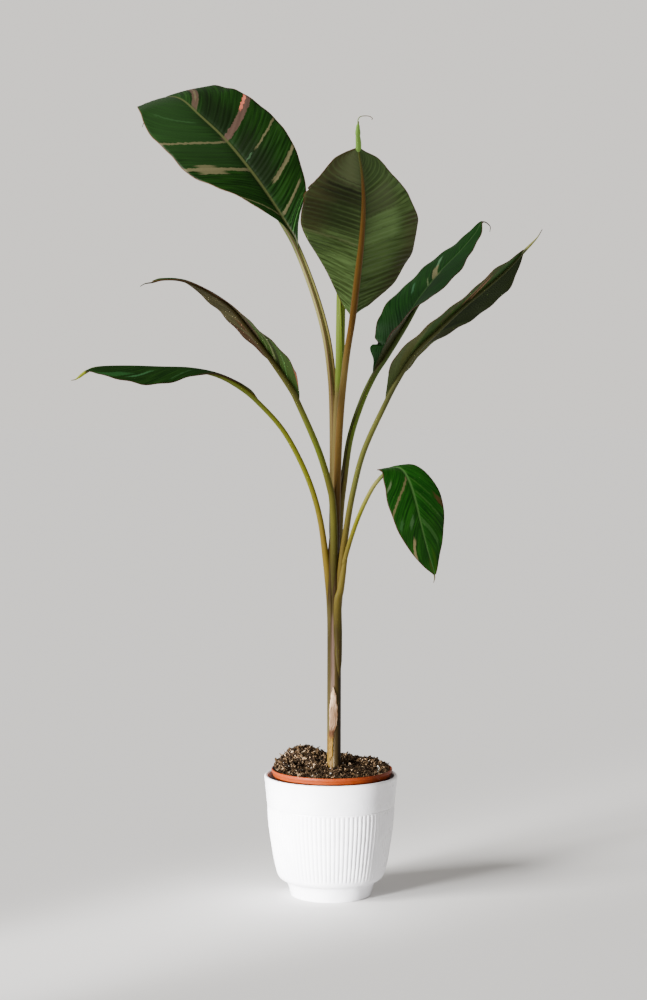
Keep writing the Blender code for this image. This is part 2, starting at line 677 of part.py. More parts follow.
def main():
    clear_scene()
    plant = new_collection("potted_banana_plant")
    cutters = new_collection("cutters", hidden=True)
    build_cover_pot(plant, finish("white_glaze", (0.85, 0.85, 0.86), 0.25))
    build_nursery_pot(plant, cutters, finish("terracotta_plastic", (0.62, 0.19, 0.07), 0.45))
    build_soil(plant, finish("compost", (0.06, 0.035, 0.02), 0.95))
    shapes = {name: LeafShape(leaf) for name, leaf in LEAVES.items()}
    build_pseudostem(shapes, plant, finish("stem_olive", (0.16, 0.13, 0.04), 0.5))
    build_dry_sheath(plant, finish("dry_sheath", (0.55, 0.47, 0.36), 0.8))
    build_rolled_leaf(plant, finish("young_green", (0.20, 0.33, 0.06), 0.4))
    for name, shape in shapes.items():
        build_stalk(name + "_stalk", shape, plant, finish(name + "_stalk", (0.20, 0.17, 0.04), 0.45))
        build_blade(name + "_blade", shape, plant, finish(name + "_blade", (0.03, 0.10, 0.03), 0.35))


main()
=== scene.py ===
# %% [markdown]
# # Dressing a potted banana plant
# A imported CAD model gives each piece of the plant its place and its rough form. This lesson
# lays a finer mesh over each of those pieces and gives it a procedural material. A banana leaf is
# a thin sheet on one thick rib, so nearly everything here is a sheet or a tube along a curve.

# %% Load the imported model
import math
from itertools import combinations

import bpy
import numpy as np
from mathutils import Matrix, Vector, noise


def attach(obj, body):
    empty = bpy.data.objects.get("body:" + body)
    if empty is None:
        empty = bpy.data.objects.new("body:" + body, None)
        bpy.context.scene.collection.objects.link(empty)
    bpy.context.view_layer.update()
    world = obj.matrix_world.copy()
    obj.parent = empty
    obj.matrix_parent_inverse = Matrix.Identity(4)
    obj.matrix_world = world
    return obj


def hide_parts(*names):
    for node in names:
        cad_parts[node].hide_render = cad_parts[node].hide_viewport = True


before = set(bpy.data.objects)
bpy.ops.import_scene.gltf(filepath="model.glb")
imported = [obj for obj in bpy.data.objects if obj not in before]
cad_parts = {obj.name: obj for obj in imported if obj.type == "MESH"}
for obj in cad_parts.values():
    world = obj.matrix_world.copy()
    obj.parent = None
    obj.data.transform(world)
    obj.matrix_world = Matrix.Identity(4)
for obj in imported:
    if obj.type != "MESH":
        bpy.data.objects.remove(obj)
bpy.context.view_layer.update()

# %% [markdown]
# ## The camera and the light
# The plant is seen from a little above the middle of its height, through a long lens, so that
# the pot's rims are thin ellipses. The light comes from a tall window on the left. A sun lamp
# with a wide angle does that evenly from pot to top, with soft shadows. A soft box with a narrow
# beam adds to it low down, and the sky is pale at the horizon and greyer above, so that it
# doesn't flatten the shadows.

# %% Camera
PICTURE_HEIGHT = 1000  # pixels
FOCAL_LENGTH = 2200  # pixels
SENSOR_WIDTH = 36  # millimetres
CAMERA_DIP = 3.25  # degrees below level

camera = bpy.data.objects.new("camera", bpy.data.cameras.new("camera"))
camera.data.sensor_width = SENSOR_WIDTH
camera.data.lens = SENSOR_WIDTH * FOCAL_LENGTH / PICTURE_HEIGHT
camera.location = (-0.0117, -3.43, 0.817)
camera.rotation_euler = (math.radians(90 - CAMERA_DIP), 0, 0)
bpy.context.scene.collection.objects.link(camera)
bpy.context.scene.camera = camera
print("lens:", camera.data.lens, "mm")


# %% Lights
def add_lamp(name, kind, place, target, power, color):
    lamp = bpy.data.lights.new(name, kind)
    lamp.energy = power
    lamp.color = color
    obj = bpy.data.objects.new(name, lamp)
    obj.location = place
    obj.rotation_euler = (Vector(target) - Vector(place)).to_track_quat("-Z", "Y").to_euler()
    bpy.context.scene.collection.objects.link(obj)
    return lamp


window = add_lamp("window", "SUN", place=(-2.6, -1.5, 2.0), target=(0, 0, 0.6),
                  power=7.5, color=(1.0, 0.985, 0.96))
window.angle = math.radians(24)

low_box = add_lamp("low_soft_box", "AREA", place=(-0.94, -0.91, 0.15), target=(-0.02, 0, 0.10),
                   power=4.8, color=(1.0, 0.99, 0.98))
low_box.shape = "RECTANGLE"
low_box.size, low_box.size_y = 0.35, 0.25
low_box.spread = math.radians(22)


# %% Sky
HORIZON_LIGHT, UPPER_LIGHT = 1.45, 0.48
FADE_FROM, FADE_TO = 0.17, 0.45  # height of a direction, 0 level and 1 straight up

sky = bpy.data.worlds.new("pale_sky")
sky.use_nodes = True
background = sky.node_tree.nodes["Background"]
background.inputs["Color"].default_value = (0.745, 0.715, 0.675, 1)
direction = sky.node_tree.nodes.new("ShaderNodeTexCoord").outputs["Generated"]
parts = sky.node_tree.nodes.new("ShaderNodeSeparateXYZ")
fall = sky.node_tree.nodes.new("ShaderNodeMapRange")
fall.interpolation_type = "SMOOTHSTEP"
sky.node_tree.links.new(direction, parts.inputs[0])
sky.node_tree.links.new(parts.outputs["Z"], fall.inputs["Value"])
for socket, value in (("From Min", FADE_FROM), ("From Max", FADE_TO),
                      ("To Min", HORIZON_LIGHT), ("To Max", UPPER_LIGHT)):
    fall.inputs[socket].default_value = value
sky.node_tree.links.new(fall.outputs[0], background.inputs["Strength"])
bpy.context.scene.world = sky
print("sky:", HORIZON_LIGHT, "at the horizon,", UPPER_LIGHT, "above")

# %% [markdown]
# ## Tools: colours, shader nodes and meshes
# Every finish below is built from the same few shader nodes, so a small class adds a node and
# hands back its output. Each mesh carries its own measurements along (how far along a leaf a
# point is, how far from its rib), and the shader reads them with an Attribute node. That keeps
# veins and stripes on the leaf however it bends, and needs no unwrapping.



# %% Colours
def rgb(code):
    """A colour as shaders want it, from the usual six-digit code."""
    parts = [int(code[i : i + 2], 16) / 255 for i in (1, 3, 5)]
    return tuple(p / 12.92 if p <= 0.04045 else ((p + 0.055) / 1.055) ** 2.4 for p in parts)


print("mid grey:", rgb("#808080"))


# %% Shader nodes
class Finish:
    """A material under construction; each method adds nodes and returns an output."""

    def __init__(self, name):
        self.material = bpy.data.materials.new(name)
        self.material.use_nodes = True
        self.tree = self.material.node_tree
        self.shader = self.tree.nodes["Principled BSDF"]

    def put(self, node, socket, value):
        if isinstance(value, bpy.types.NodeSocket):
            self.tree.links.new(value, node.inputs[socket])
            return
        if isinstance(value, str):
            value = rgb(value)
        if isinstance(value, tuple) and len(node.inputs[socket].default_value) == 4:
            value = (*value, 1)
        node.inputs[socket].default_value = value

    def node(self, kind, settings=(), **inputs):
        node = self.tree.nodes.new("ShaderNode" + kind)
        for key, value in settings:
            setattr(node, key, value)
        for key, value in inputs.items():
            self.put(node, key.replace("_", " "), value)
        return node

    def math(self, operation, *values):
        node = self.node("Math", [("operation", operation)])
        for k, value in enumerate(values):
            self.put(node, k, value)
        return node.outputs[0]

    def product(self, first, *factors):
        for factor in factors:
            first = self.math("MULTIPLY", first, factor)
        return first

    def apart(self, value, place):
        """How far a value is from a place, to either side."""
        return self.math("ABSOLUTE", self.math("SUBTRACT", value, place))

    def centred(self, noise, size):
        """Noise as a swing of this size round zero."""
        return self.math("MULTIPLY_ADD", noise, size, -size / 2)

    def mapped(self, name):
        """The three parts of a measurement that the mesh carries."""
        vector = self.node("Attribute", [("attribute_name", name)]).outputs["Vector"]
        return self.node("SeparateXYZ", Vector=vector).outputs

    def noise(self, x, y, scales, detail=3.0, z=0.0):
        """Noise over two measurements, each with its own scale, so that it can be drawn out."""
        place = self.node("CombineXYZ", X=x, Y=y, Z=z).outputs[0]
        stretched = self.node("VectorMath", [("operation", "MULTIPLY")])
        self.put(stretched, 0, place)
        stretched.inputs[1].default_value = (*scales, 1.0)
        inputs = dict(Vector=stretched.outputs[0], Scale=1.0, Detail=detail, Roughness=0.55)
        return self.node("TexNoise", **inputs).outputs[0]

    def solid_noise(self, scale, detail=4.0, rough=0.55):
        inputs = dict(Scale=scale, Detail=detail, Roughness=rough)
        place = self.node("TexCoord").outputs["Object"]
        return self.node("TexNoise", Vector=place, **inputs).outputs[0]

    def fade(self, value, start, end, low=0.0, high=1.0):
        """Goes smoothly from low at start to high at end."""
        node = self.node("MapRange", [("interpolation_type", "SMOOTHSTEP")], Value=value)
        node.inputs["From Min"].default_value = min(start, end)
        node.inputs["From Max"].default_value = max(start, end)
        node.inputs["To Min"].default_value = low if start < end else high
        node.inputs["To Max"].default_value = high if start < end else low
        return node.outputs[0]

    def mix(self, share, first, second):
        node = self.node("Mix", [("data_type", "RGBA")])
        for socket, value in ((0, share), (6, first), (7, second)):
            self.put(node, socket, value)
        return node.outputs[2]

    def over(self, color, tint, *shares):
        """Lays a tint over a colour, as strongly as the product of the shares."""
        return self.mix(self.product(*shares), color, tint)

    def ramp(self, value, stops):
        """Colours between the given ones; a stop is a place from 0 to 1 and a colour."""
        node = self.node("ValToRGB", Fac=value)
        elements = node.color_ramp.elements
        while len(elements) < len(stops):
            elements.new(0.5)
        for element, (place, code) in zip(elements, stops):
            element.position = place
            element.color = (*rgb(code), 1)
        return node.outputs[0]

    def bump(self, height, depth, strength=1.0):
        return self.node("Bump", Height=height, Distance=depth, Strength=strength).outputs[0]

    def skin(self, color, texture, smooth, coarse, shine, depth, strength=1.0):
        """A finish whose roughness and relief both follow one texture."""
        return self.done(
            Base_Color=color,
            Roughness=self.fade(texture, 0.2, 0.8, smooth, coarse),
            Specular_IOR_Level=shine,
            Normal=self.bump(texture, depth, strength),
        )

    def done(self, **inputs):
        for key, value in inputs.items():
            self.put(self.shader, key.replace("_", " "), value)
        return self.material


# %% Meshes
def stacked(*values):
    """Three measurements, or x, y and z, as one array with three numbers for each point."""
    return np.stack(np.broadcast_arrays(*values), axis=-1)


def grid_faces(rows, columns, around=False):
    """Quads over a grid of points; around joins the last column to the first."""
    at = np.arange(rows * columns).reshape(rows, columns)
    if around:
        at = np.concatenate([at, at[:, :1]], axis=1)
    return stacked(at[:-1, :-1], at[:-1, 1:], at[1:, 1:], at[1:, :-1]).reshape(-1, 4)


def new_piece(name, points, faces, materials, maps=None, face_slots=None):
    """A smooth-shaded object from arrays, with its measurements as attributes."""
    mesh = bpy.data.meshes.new(name)
    faces = [list(map(int, face)) for face in faces]
    mesh.from_pydata(np.reshape(points, (-1, 3)).tolist(), [], faces)
    mesh.polygons.foreach_set("use_smooth", [True] * len(mesh.polygons))
    for key, values in (maps or {}).items():
        layer = mesh.attributes.new(key, "FLOAT_VECTOR", "POINT")
        layer.data.foreach_set("vector", np.asarray(values, np.float32).ravel())
    for material in materials:
        mesh.materials.append(material)
    if face_slots is not None:
        mesh.polygons.foreach_set("material_index", face_slots)
    obj = bpy.data.objects.new(name, mesh)
    bpy.context.scene.collection.objects.link(obj)
    return obj


def as_sheet(obj, thickness, other_side=0):
    """Gives a surface its thickness; other_side counts the slots on to the back's material."""
    sheet = obj.modifiers.new("sheet", "SOLIDIFY")
    sheet.thickness = thickness
    sheet.offset = 0
    sheet.material_offset = other_side
    return obj


def stands_for(obj, slot, *nodes):
    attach(obj, "root")
    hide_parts(*nodes)
    print(obj.name, "has", len(obj.data.polygons), "faces")


# %% [markdown]
# ## The leaves' own measurements
# Each leaf is drawn once, in numbers: a centre line that runs up the stalk, along the rib and out
# to the tail, the width of each half at several places, and the slope of each half. The CAD
# solids were made from the same numbers, so the finer sheets below lie over them. Only the nicks,
# a notch and a lobe too small for the solids, are cut in the sheets alone.

# %% Leaf tables
# Lengths are in millimetres, angles in degrees, and a place runs from 0 to 1 along the blade.
# azimuth: the way the leaf grows; leaves_stem_at: how high its stalk comes free of the stem
# stalk, midrib, tail: points of the centre line; left, right: a place and the half's width there
# roll: a place and its angle; slopes: a place, the angle at the rib and the angle at the edge
# sweep: how far the edge runs ahead of the rib; wave: its height, and how many the blade has
# nicks: for a half, a place, the share of the width taken off (negative adds a lobe), its reach
MM = 0.001
USUAL = dict(roll=[(0, 0), (1, 0)], sweep=0.16, nicks={})
LEAVES = {
    "leaf_1": dict(
        USUAL, azimuth=125, radius=6.4, leaves_stem_at=792, wave=(2.5, 4.0),
        roll=[(0, -8), (0.5, -30), (1, -35)],
        stalk=[(4, 4, 465), (5, 6, 669), (4, 10, 763), (1, 16, 817), (-8, 30, 880), (-26, 52, 945)],
        midrib=[(-52, 80, 1014), (-73, 98, 1054), (-117, 130, 1125), (-167, 165, 1191),
                (-214, 205, 1239), (-246, 245, 1270), (-273, 285, 1279), (-294, 322, 1272),
                (-311, 352, 1258)],
        tail=[(-318, 362, 1250), (-322, 367, 1241)],
        left=[(0, 3), (0.1, 14), (0.2, 41), (0.3, 73), (0.45, 95), (0.6, 93), (0.75, 76), (0.9, 42),
              (1, 3)],
        right=[(0, 4), (0.1, 34), (0.2, 64), (0.35, 84), (0.45, 88), (0.6, 80), (0.75, 58),
               (0.9, 26), (1, 3)],
        left_slope=[(0, 30, 20), (0.5, 14, -4), (0.75, 15, 2), (1, 32, 20)],
        right_slope=[(0, 30, 20), (0.5, 14, -4), (0.7, 9, -9), (0.85, -8, -38), (1, -20, -50)],
    ),
    "leaf_2": dict(
        USUAL, azimuth=-84, radius=6.6, leaves_stem_at=752, wave=(2.0, 4.5), sweep=0.05,
        stalk=[(6, -4, 466), (9, -6, 623), (12, -12, 716), (17, -22, 785), (24, -42, 848)],
        midrib=[(32, -68, 899), (39, -105, 960), (45, -148, 1017), (47, -190, 1066),
                (44, -232, 1105), (38, -272, 1139)],
        tail=[(38, -290, 1155), (38, -305, 1174)],
        left=[(0, 4), (0.06, 31), (0.17, 70), (0.35, 87), (0.5, 87), (0.65, 70), (0.8, 46),
              (0.92, 24), (1, 2)],
        right=[(0, 4), (0.09, 24), (0.22, 47), (0.38, 78), (0.52, 92), (0.72, 85), (0.85, 62),
               (0.95, 38), (1, 3)],
        left_slope=[(0, 35, 25), (0.5, 16, 4), (1, 5, -10)],
        right_slope=[(0, 35, 25), (0.5, 16, 4), (1, 5, -10)],
        nicks={-1: [(0.742, 0.045, 0.010), (0.705, -0.02, 0.018)]},
    ),
    "leaf_3": dict(
        USUAL, azimuth=48, radius=5.4, leaves_stem_at=648, wave=(1.2, 3.0),
        roll=[(0, -20), (0.5, -15), (1, -10)],
        stalk=[(7, 5, 465), (13, 8, 590), (20, 12, 653), (30, 18, 719), (49, 28, 777)],
        midrib=[(68, 36, 817), (86, 44, 844), (104, 53, 872), (120, 60, 898), (141, 72, 934),
                (173, 88, 976), (209, 108, 1014), (233, 124, 1043), (245, 134, 1063)],
        tail=[(257, 140, 1057), (257, 143, 1048)],
        left=[(0, 6), (0.14, 28), (0.28, 47), (0.48, 54), (0.7, 45), (0.87, 28), (0.96, 12),
              (1, 2)],
        right=[(0, 4), (0.15, 26), (0.35, 44), (0.62, 52), (0.78, 34), (0.9, 18), (1, 2)],
        left_slope=[(0, 45, 40), (0.3, 32, 25), (0.55, 12, 5), (1, 5, 0)],
        right_slope=[(0, 48, 42), (0.3, 35, 25), (0.5, 5, -8), (1, -5, -10)],
        nicks={1: [(0.100, -0.52, 0.034), (0.156, 0.45, 0.012)]},
    ),
    "leaf_4": dict(
        USUAL, azimuth=-40, radius=4.4, leaves_stem_at=545, wave=(1.0, 3.0),
        stalk=[(9, -5, 403), (16, -9, 513), (23, -15, 572), (34, -26, 636), (51, -45, 702)],
        midrib=[(83, -74, 774), (102, -92, 811), (126, -110, 849), (157, -128, 880),
                (196, -146, 917), (238, -160, 952), (266, -168, 978), (285, -172, 1000)],
        tail=[(302, -176, 1018), (310, -178, 1031)],
        left=[(0, 3), (0.1, 10), (0.22, 24), (0.35, 24), (0.5, 29), (0.67, 40), (0.8, 36),
              (0.9, 20), (1, 2)],
        right=[(0, 3), (0.14, 19), (0.3, 36), (0.5, 30), (0.7, 25), (0.85, 28), (0.94, 13), (1, 2)],
        left_slope=[(0, 30, 25), (0.3, 5, -5), (0.6, -18, -22), (1, -20, -20)],
        right_slope=[(0, 20, 15), (0.4, 0, -5), (1, -5, -5)],
    ),
    "leaf_5": dict(
        USUAL, azimuth=215, radius=5.0, leaves_stem_at=642, wave=(1.0, 2.5),
        stalk=[(2, -4, 434), (5, -8, 548), (3, -14, 611), (-2, -20, 644), (-20, -36, 703)],
        midrib=[(-50, -62, 773), (-63, -73, 798), (-95, -96, 845), (-126, -118, 887),
                (-149, -134, 915), (-175, -148, 935), (-206, -162, 951), (-226, -170, 957),
                (-248, -177, 957), (-263, -182, 953)],
        tail=[(-274, -185, 951), (-281, -186, 947)],
        left=[(0, 4), (0.12, 22), (0.28, 36), (0.45, 34), (0.6, 28), (0.8, 15), (0.93, 8), (1, 2)],
        right=[(0, 4), (0.12, 20), (0.3, 27), (0.45, 30), (0.58, 31), (0.68, 28), (0.8, 13),
               (0.93, 8), (1, 2)],
        left_slope=[(0, 20, 15), (0.3, 5, 0), (0.5, -14, -18), (0.7, -17, -22), (1, -20, -30)],
        right_slope=[(0, 25, 22), (0.2, 14, 12), (0.35, 2, -3), (0.55, -14, -18), (0.75, -10, -15),
                     (1, 0, 0)],
    ),
    "leaf_6": dict(
        USUAL, azimuth=192, radius=4.4, leaves_stem_at=558, wave=(0.8, 3.0),
        stalk=[(-1, 0, 387), (-2, 0, 470), (-8, -2, 532), (-18, -6, 599), (-38, -14, 663),
               (-72, -26, 729)],
        midrib=[(-113, -38, 776), (-143, -46, 800), (-176, -53, 817), (-216, -59, 825),
                (-261, -64, 827), (-311, -69, 829), (-355, -72, 828), (-373, -74, 822)],
        tail=[(-388, -76, 811), (-396, -77, 809)],
        left=[(0, 3), (0.1, 8), (0.25, 7), (0.35, 17), (0.47, 32), (0.6, 45), (0.68, 48), (0.8, 36),
              (0.94, 19), (1, 4)],
        right=[(0, 3), (0.1, 8), (0.25, 10), (0.38, 20), (0.6, 36), (0.75, 36), (0.9, 22), (1, 4)],
        left_slope=[(0, 40, 20), (0.12, 20, -10), (0.28, -20, -40), (0.45, -32, -42),
                    (0.7, -34, -44), (1, -30, -40)],
        right_slope=[(0, 40, 30), (0.2, 10, 0), (0.4, -25, -35), (0.7, -32, -40), (1, -40, -40)],
    ),
    "leaf_7": dict(
        USUAL, azimuth=-52, radius=3.4, leaves_stem_at=535, wave=(1.0, 4.0), sweep=0.06,
        roll=[(0, 10), (0.4, 20), (1, 20)],
        stalk=[(4, -6, 340), (6, -9, 455), (12, -11, 484), (24, -22, 540), (41, -42, 595),
               (62, -66, 642)],
        midrib=[(80, -86, 666), (94, -100, 674), (107, -113, 671), (118, -126, 652),
                (126, -137, 626), (133, -145, 596), (143, -150, 557), (154, -152, 519)],
        tail=[(153, -152, 507)],
        left=[(0, 4), (0.12, 10), (0.2, 24), (0.3, 35), (0.45, 43), (0.6, 40), (0.8, 25),
              (0.92, 12), (1, 2)],
        right=[(0, 16), (0.1, 30), (0.22, 38), (0.42, 44), (0.6, 40), (0.78, 28), (0.92, 14),
               (1, 2)],
        left_slope=[(0, 10, 0), (0.5, 5, -10), (1, 0, -10)],
        right_slope=[(0, 10, 0), (0.5, 5, -10), (1, 0, -10)],
    ),
}
print("leaves:", len(LEAVES))


# %% [markdown]
# ## A smooth line and a smooth table
# A Catmull-Rom curve passes through every point it is given, which suits a leaf's rib. The
# tables of widths and slopes are joined by a cubic that never overshoots, or a narrow leaf tip
# would turn inside out. All of it works on whole arrays at once, so a fine grid costs little time.

# %% Curves and tables
CURVE_STEPS = 40


def catmull_rom(points):
    p = np.asarray(points, float)
    p = np.vstack([2 * p[0] - p[1], p, 2 * p[-1] - p[-2]])
    t = (np.arange(CURVE_STEPS) / CURVE_STEPS)[:, None]
    spans = [
        0.5 * (2 * b + (c - a) * t + (2 * a - 5 * b + 4 * c - d) * t**2
               + (3 * b - a - 3 * c + d) * t**3)
        for a, b, c, d in zip(p, p[1:], p[2:], p[3:])
    ]
    return np.vstack([*spans, p[-2]])


def smooth_table(pairs, place):
    at, value = np.array(pairs, float).T
    step = np.diff(at)
    slope = np.diff(value) / step
    both = slope[:-1] * slope[1:]
    total = np.where(both > 0, slope[:-1] + slope[1:], 1)
    tangent = np.concatenate([slope[:1], np.where(both > 0, 2 * both / total, 0), slope[-1:]])
    place = np.clip(place, at[0], at[-1])
    i = np.clip(np.searchsorted(at, place, side="right") - 1, 0, len(step) - 1)
    u = (place - at[i]) / step[i]
    return (
        (1 + 2 * u) * (1 - u) ** 2 * value[i]
        + u * (1 - u) ** 2 * step[i] * tangent[i]
        + u * u * (3 - 2 * u) * value[i + 1]
        + u * u * (u - 1) * step[i] * tangent[i + 1]
    )


def bell(distance, reach):
    """A smooth hump, 1 at distance 0 and gone at about twice its reach."""
    return np.exp(-((distance / reach) ** 2))


def unit(vectors):
    return vectors / np.linalg.norm(vectors, axis=-1, keepdims=True)


def runs_of(line):
    """How far along a line each of its points is."""
    return np.concatenate([[0], np.cumsum(np.linalg.norm(np.diff(line, axis=0), axis=1))])


print("leaf 1's width at its middle:", smooth_table(LEAVES["leaf_1"]["left"], 0.5).round(1), "mm")

# %% [markdown]
# ## The shape of one leaf
# A leaf has its own directions at every place along the rib: along it, out to its left side, and
# up from its upper face. A point of the blade is reached by going sideways along a slope that
# changes from the rib to the edge, and lifting it clear of the rib.

# %% Leaf shape
GAP = 0.0003
BLADE_THICKNESS = 0.0008
WAVED_FROM_WIDTH = 0.020
SHEATH_RADIUS = 0.0082
TIP_RADIUS = 0.0011
TAIL_RADIUS = 0.00045
SLOPE_STEPS = 10
LOOK_AHEAD = 0.004
SWEEP_BEND = 1.4


class LeafShape:
    def __init__(self, leaf):
        self.leaf = leaf
        self.line = catmull_rom(np.array(leaf["stalk"] + leaf["midrib"] + leaf["tail"], float) * MM)
        self.run = runs_of(self.line)
        self.blade_start = self.run[CURVE_STEPS * len(leaf["stalk"])]
        self.blade_end = self.run[CURVE_STEPS * (len(leaf["stalk"]) + len(leaf["midrib"]) - 1)]
        self.length = self.blade_end - self.blade_start
        height = leaf["leaves_stem_at"] * MM
        first = int(np.argmax(self.line[:, 2] >= height))
        near = slice(first - 1, first + 1)
        self.free_from = float(np.interp(height, self.line[near, 2], self.run[near]))
        angle = np.radians(leaf["azimuth"])
        self.level = np.array([-np.sin(angle), np.cos(angle), 0])

    def on_line(self, run):
        return stacked(*(np.interp(run, self.run, self.line[:, k]) for k in range(3)))

    def frame(self, place):
        """Point, direction to the leaf's left and direction up from its upper face."""
        run = self.blade_start + place * self.length
        along = unit(self.on_line(run + LOOK_AHEAD) - self.on_line(run - LOOK_AHEAD))
        side = unit(self.level - along * (along @ self.level)[..., None])
        up = np.cross(along, side)
        roll = np.radians(smooth_table(self.leaf["roll"], np.clip(place, 0, 1)))[..., None]
        cos, sin = np.cos(roll), np.sin(roll)
        return self.on_line(run), side * cos + up * sin, up * cos - side * sin

    def radius(self, run):
        """Radius of the stalk, rib and tail."""
        stalk = self.leaf["radius"] * MM
        start = -self.blade_start / self.length
        end = (self.run[-1] - self.blade_start) / self.length
        radii = [
            (start, SHEATH_RADIUS),
            (start * 0.5, stalk * 1.1),
            (0, stalk * 0.92),
            (0.5, stalk * 0.6),
            (1, TIP_RADIUS),
            (end, TAIL_RADIUS),
        ]
        return smooth_table(radii, (run - self.blade_start) / self.length)

    def rib_radius(self, place):
        return self.radius(self.blade_start + place * self.length)

    def width(self, half, along, across):
        """Place along the rib that a point belongs to, and the blade's width there."""
        place = along + (1 - along) * self.leaf["sweep"] * across**SWEEP_BEND
        width = smooth_table(self.leaf["left" if half > 0 else "right"], place) * MM
        for at, depth, reach in self.leaf["nicks"].get(half, []):
            width = width * (1 - depth * bell(place - at, reach))
        return place, width

    def slope(self, side, column, place):
        """Slope of the left or right half, at the rib (column 1) or at the edge (column 2)."""
        rows = self.leaf[side + "_slope"]
        return np.radians(smooth_table([(row[0], row[column]) for row in rows], place))

    def blade_point(self, half, along, across, relief):
        name, other = ("left", "right") if half > 0 else ("right", "left")
        place, width = self.width(half, along, across)
        inner, outer = self.slope(name, 1, place), self.slope(name, 2, place)
        steepest = np.minimum(np.minimum(inner, self.slope(other, 1, place)), 0)
        lift = (self.rib_radius(place) + GAP * 2 + BLADE_THICKNESS / 2) / np.cos(steepest)
        out, rise = 0.0, 0.0
        for k in range(SLOPE_STEPS):
            slope = inner + (outer - inner) * (k + 0.5) / SLOPE_STEPS * across
            out = out + np.cos(slope) * across / SLOPE_STEPS
            rise = rise + np.sin(slope) * across / SLOPE_STEPS
        height, waves = self.leaf["wave"]
        ripple = height * MM * across**2 * np.sin(2 * np.pi * waves * place + half)
        ripple = ripple * np.minimum(1, width / WAVED_FROM_WIDTH)
        middle, side, up = self.frame(place)
        sideways = (half * out * width)[..., None]
        upward = (lift + rise * width + ripple + relief)[..., None]
        return middle + side * sideways + up * upward


SHAPES = {name: LeafShape(leaf) for name, leaf in LEAVES.items()}
for name, shape in SHAPES.items():
    print(name, "blade", round(shape.length * 1000), "mm long")

# %% [markdown]
# ## How a banana leaf is coloured
# The blade is dark green with fine veins that leave the rib side by side and bend towards the
# edge, and on this plant pale and pink bands follow the veins. The underside is duller, with a
# bronze cast. Each marking below is a soft box in the leaf's own measurements: how far along the
# veins it starts and ends, and how far out from the rib. Noise makes its edges ragged.

# %% Leaf looks
# veins: how far a vein leans from the rib to the edge, at the blade's base and more at its tip;
# ridge: height and spacing of the pleats in millimetres; crest: strength of the painted highlight
# on the pleats' crests; lines: that painted highlight laid again over the marks; flecks: pale
# flecks; rib_width in millimetres
PLAIN_UPPER = dict(dark="#071c04", light="#1a3a10", tint="#0d2808", crest=0.25,
                   rib="#4a5230", rib_width=3.4, margin="#4a2c1c")
PLAIN_LOWER = dict(dark="#1c2410", light="#36421f", tint="#30281a", crest=0.3,
                   rib="#4c4826", rib_width=2.0, margin="#3a2418")

LOOKS = {
    "leaf_1": dict(
        veins=(-0.05, 0.42), ridge=(0.30, 9.0),
        upper=dict(PLAIN_UPPER, dark="#051602", light="#15340a", tint="#0b2206",
                   rib="#474c2b", rib_width=3.9, margin="#6a4c38"),
        lower=PLAIN_LOWER,
    ),
    "leaf_2": dict(
        veins=(0.0, 0.20), ridge=(0.80, 9.0),
        upper=PLAIN_UPPER,
        lower=dict(dark="#222f0e", light="#4a5f34", tint="#303c1b", crest=0.8, lines=0.38,
                   rib="#33401a", rib_width=3.0, margin="#3a2012"),
    ),
    "leaf_3": dict(
        veins=(0.08, 0.15), ridge=(0.22, 8.0),
        upper=dict(dark="#041a05", light="#10300c", tint="#0a2407", crest=0.25,
                   rib="#2a4020", rib_width=2.4, margin="#3a1c18"),
        lower=dict(PLAIN_LOWER, dark="#1c2212", light="#3c4228", margin="#3a2020"),
    ),
    "leaf_4": dict(
        veins=(0.10, 0.20), ridge=(0.30, 6.5),
        upper=PLAIN_UPPER,
        lower=dict(dark="#1e2c12", light="#48592e", tint="#2c321a", crest=0.6, lines=0.6,
                   rib="#5e643c", rib_width=2.6, margin="#33201a"),
    ),
    "leaf_5": dict(
        veins=(0.10, 0.20), ridge=(0.30, 6.5),
        upper=PLAIN_UPPER,
        lower=dict(dark="#29281a", light="#545036", tint="#3e3524", crest=0.5, lines=0.4,
                   rib="#50321e", rib_width=2.0, margin="#40241a"),
    ),
    "leaf_6": dict(
        veins=(0.12, 0.20), ridge=(0.25, 6.0),
        upper=dict(dark="#031703", light="#17320b", tint="#0c1c06", crest=0.3, flecks=0.35,
                   rib="#30401c", rib_width=2.0, margin="#33180f"),
        lower=PLAIN_LOWER,
    ),
    "leaf_7": dict(
        veins=(0.27, 0.0), ridge=(0.22, 7.0),
        upper=dict(dark="#032203", light="#1a480e", tint="#0a3008", crest=0.4, flecks=0.5,
                   rib="#3a5a2c", rib_width=3.0, margin="#40140f"),
        lower=PLAIN_LOWER,
    ),
}
print("faces coloured:", 2 * len(LOOKS))

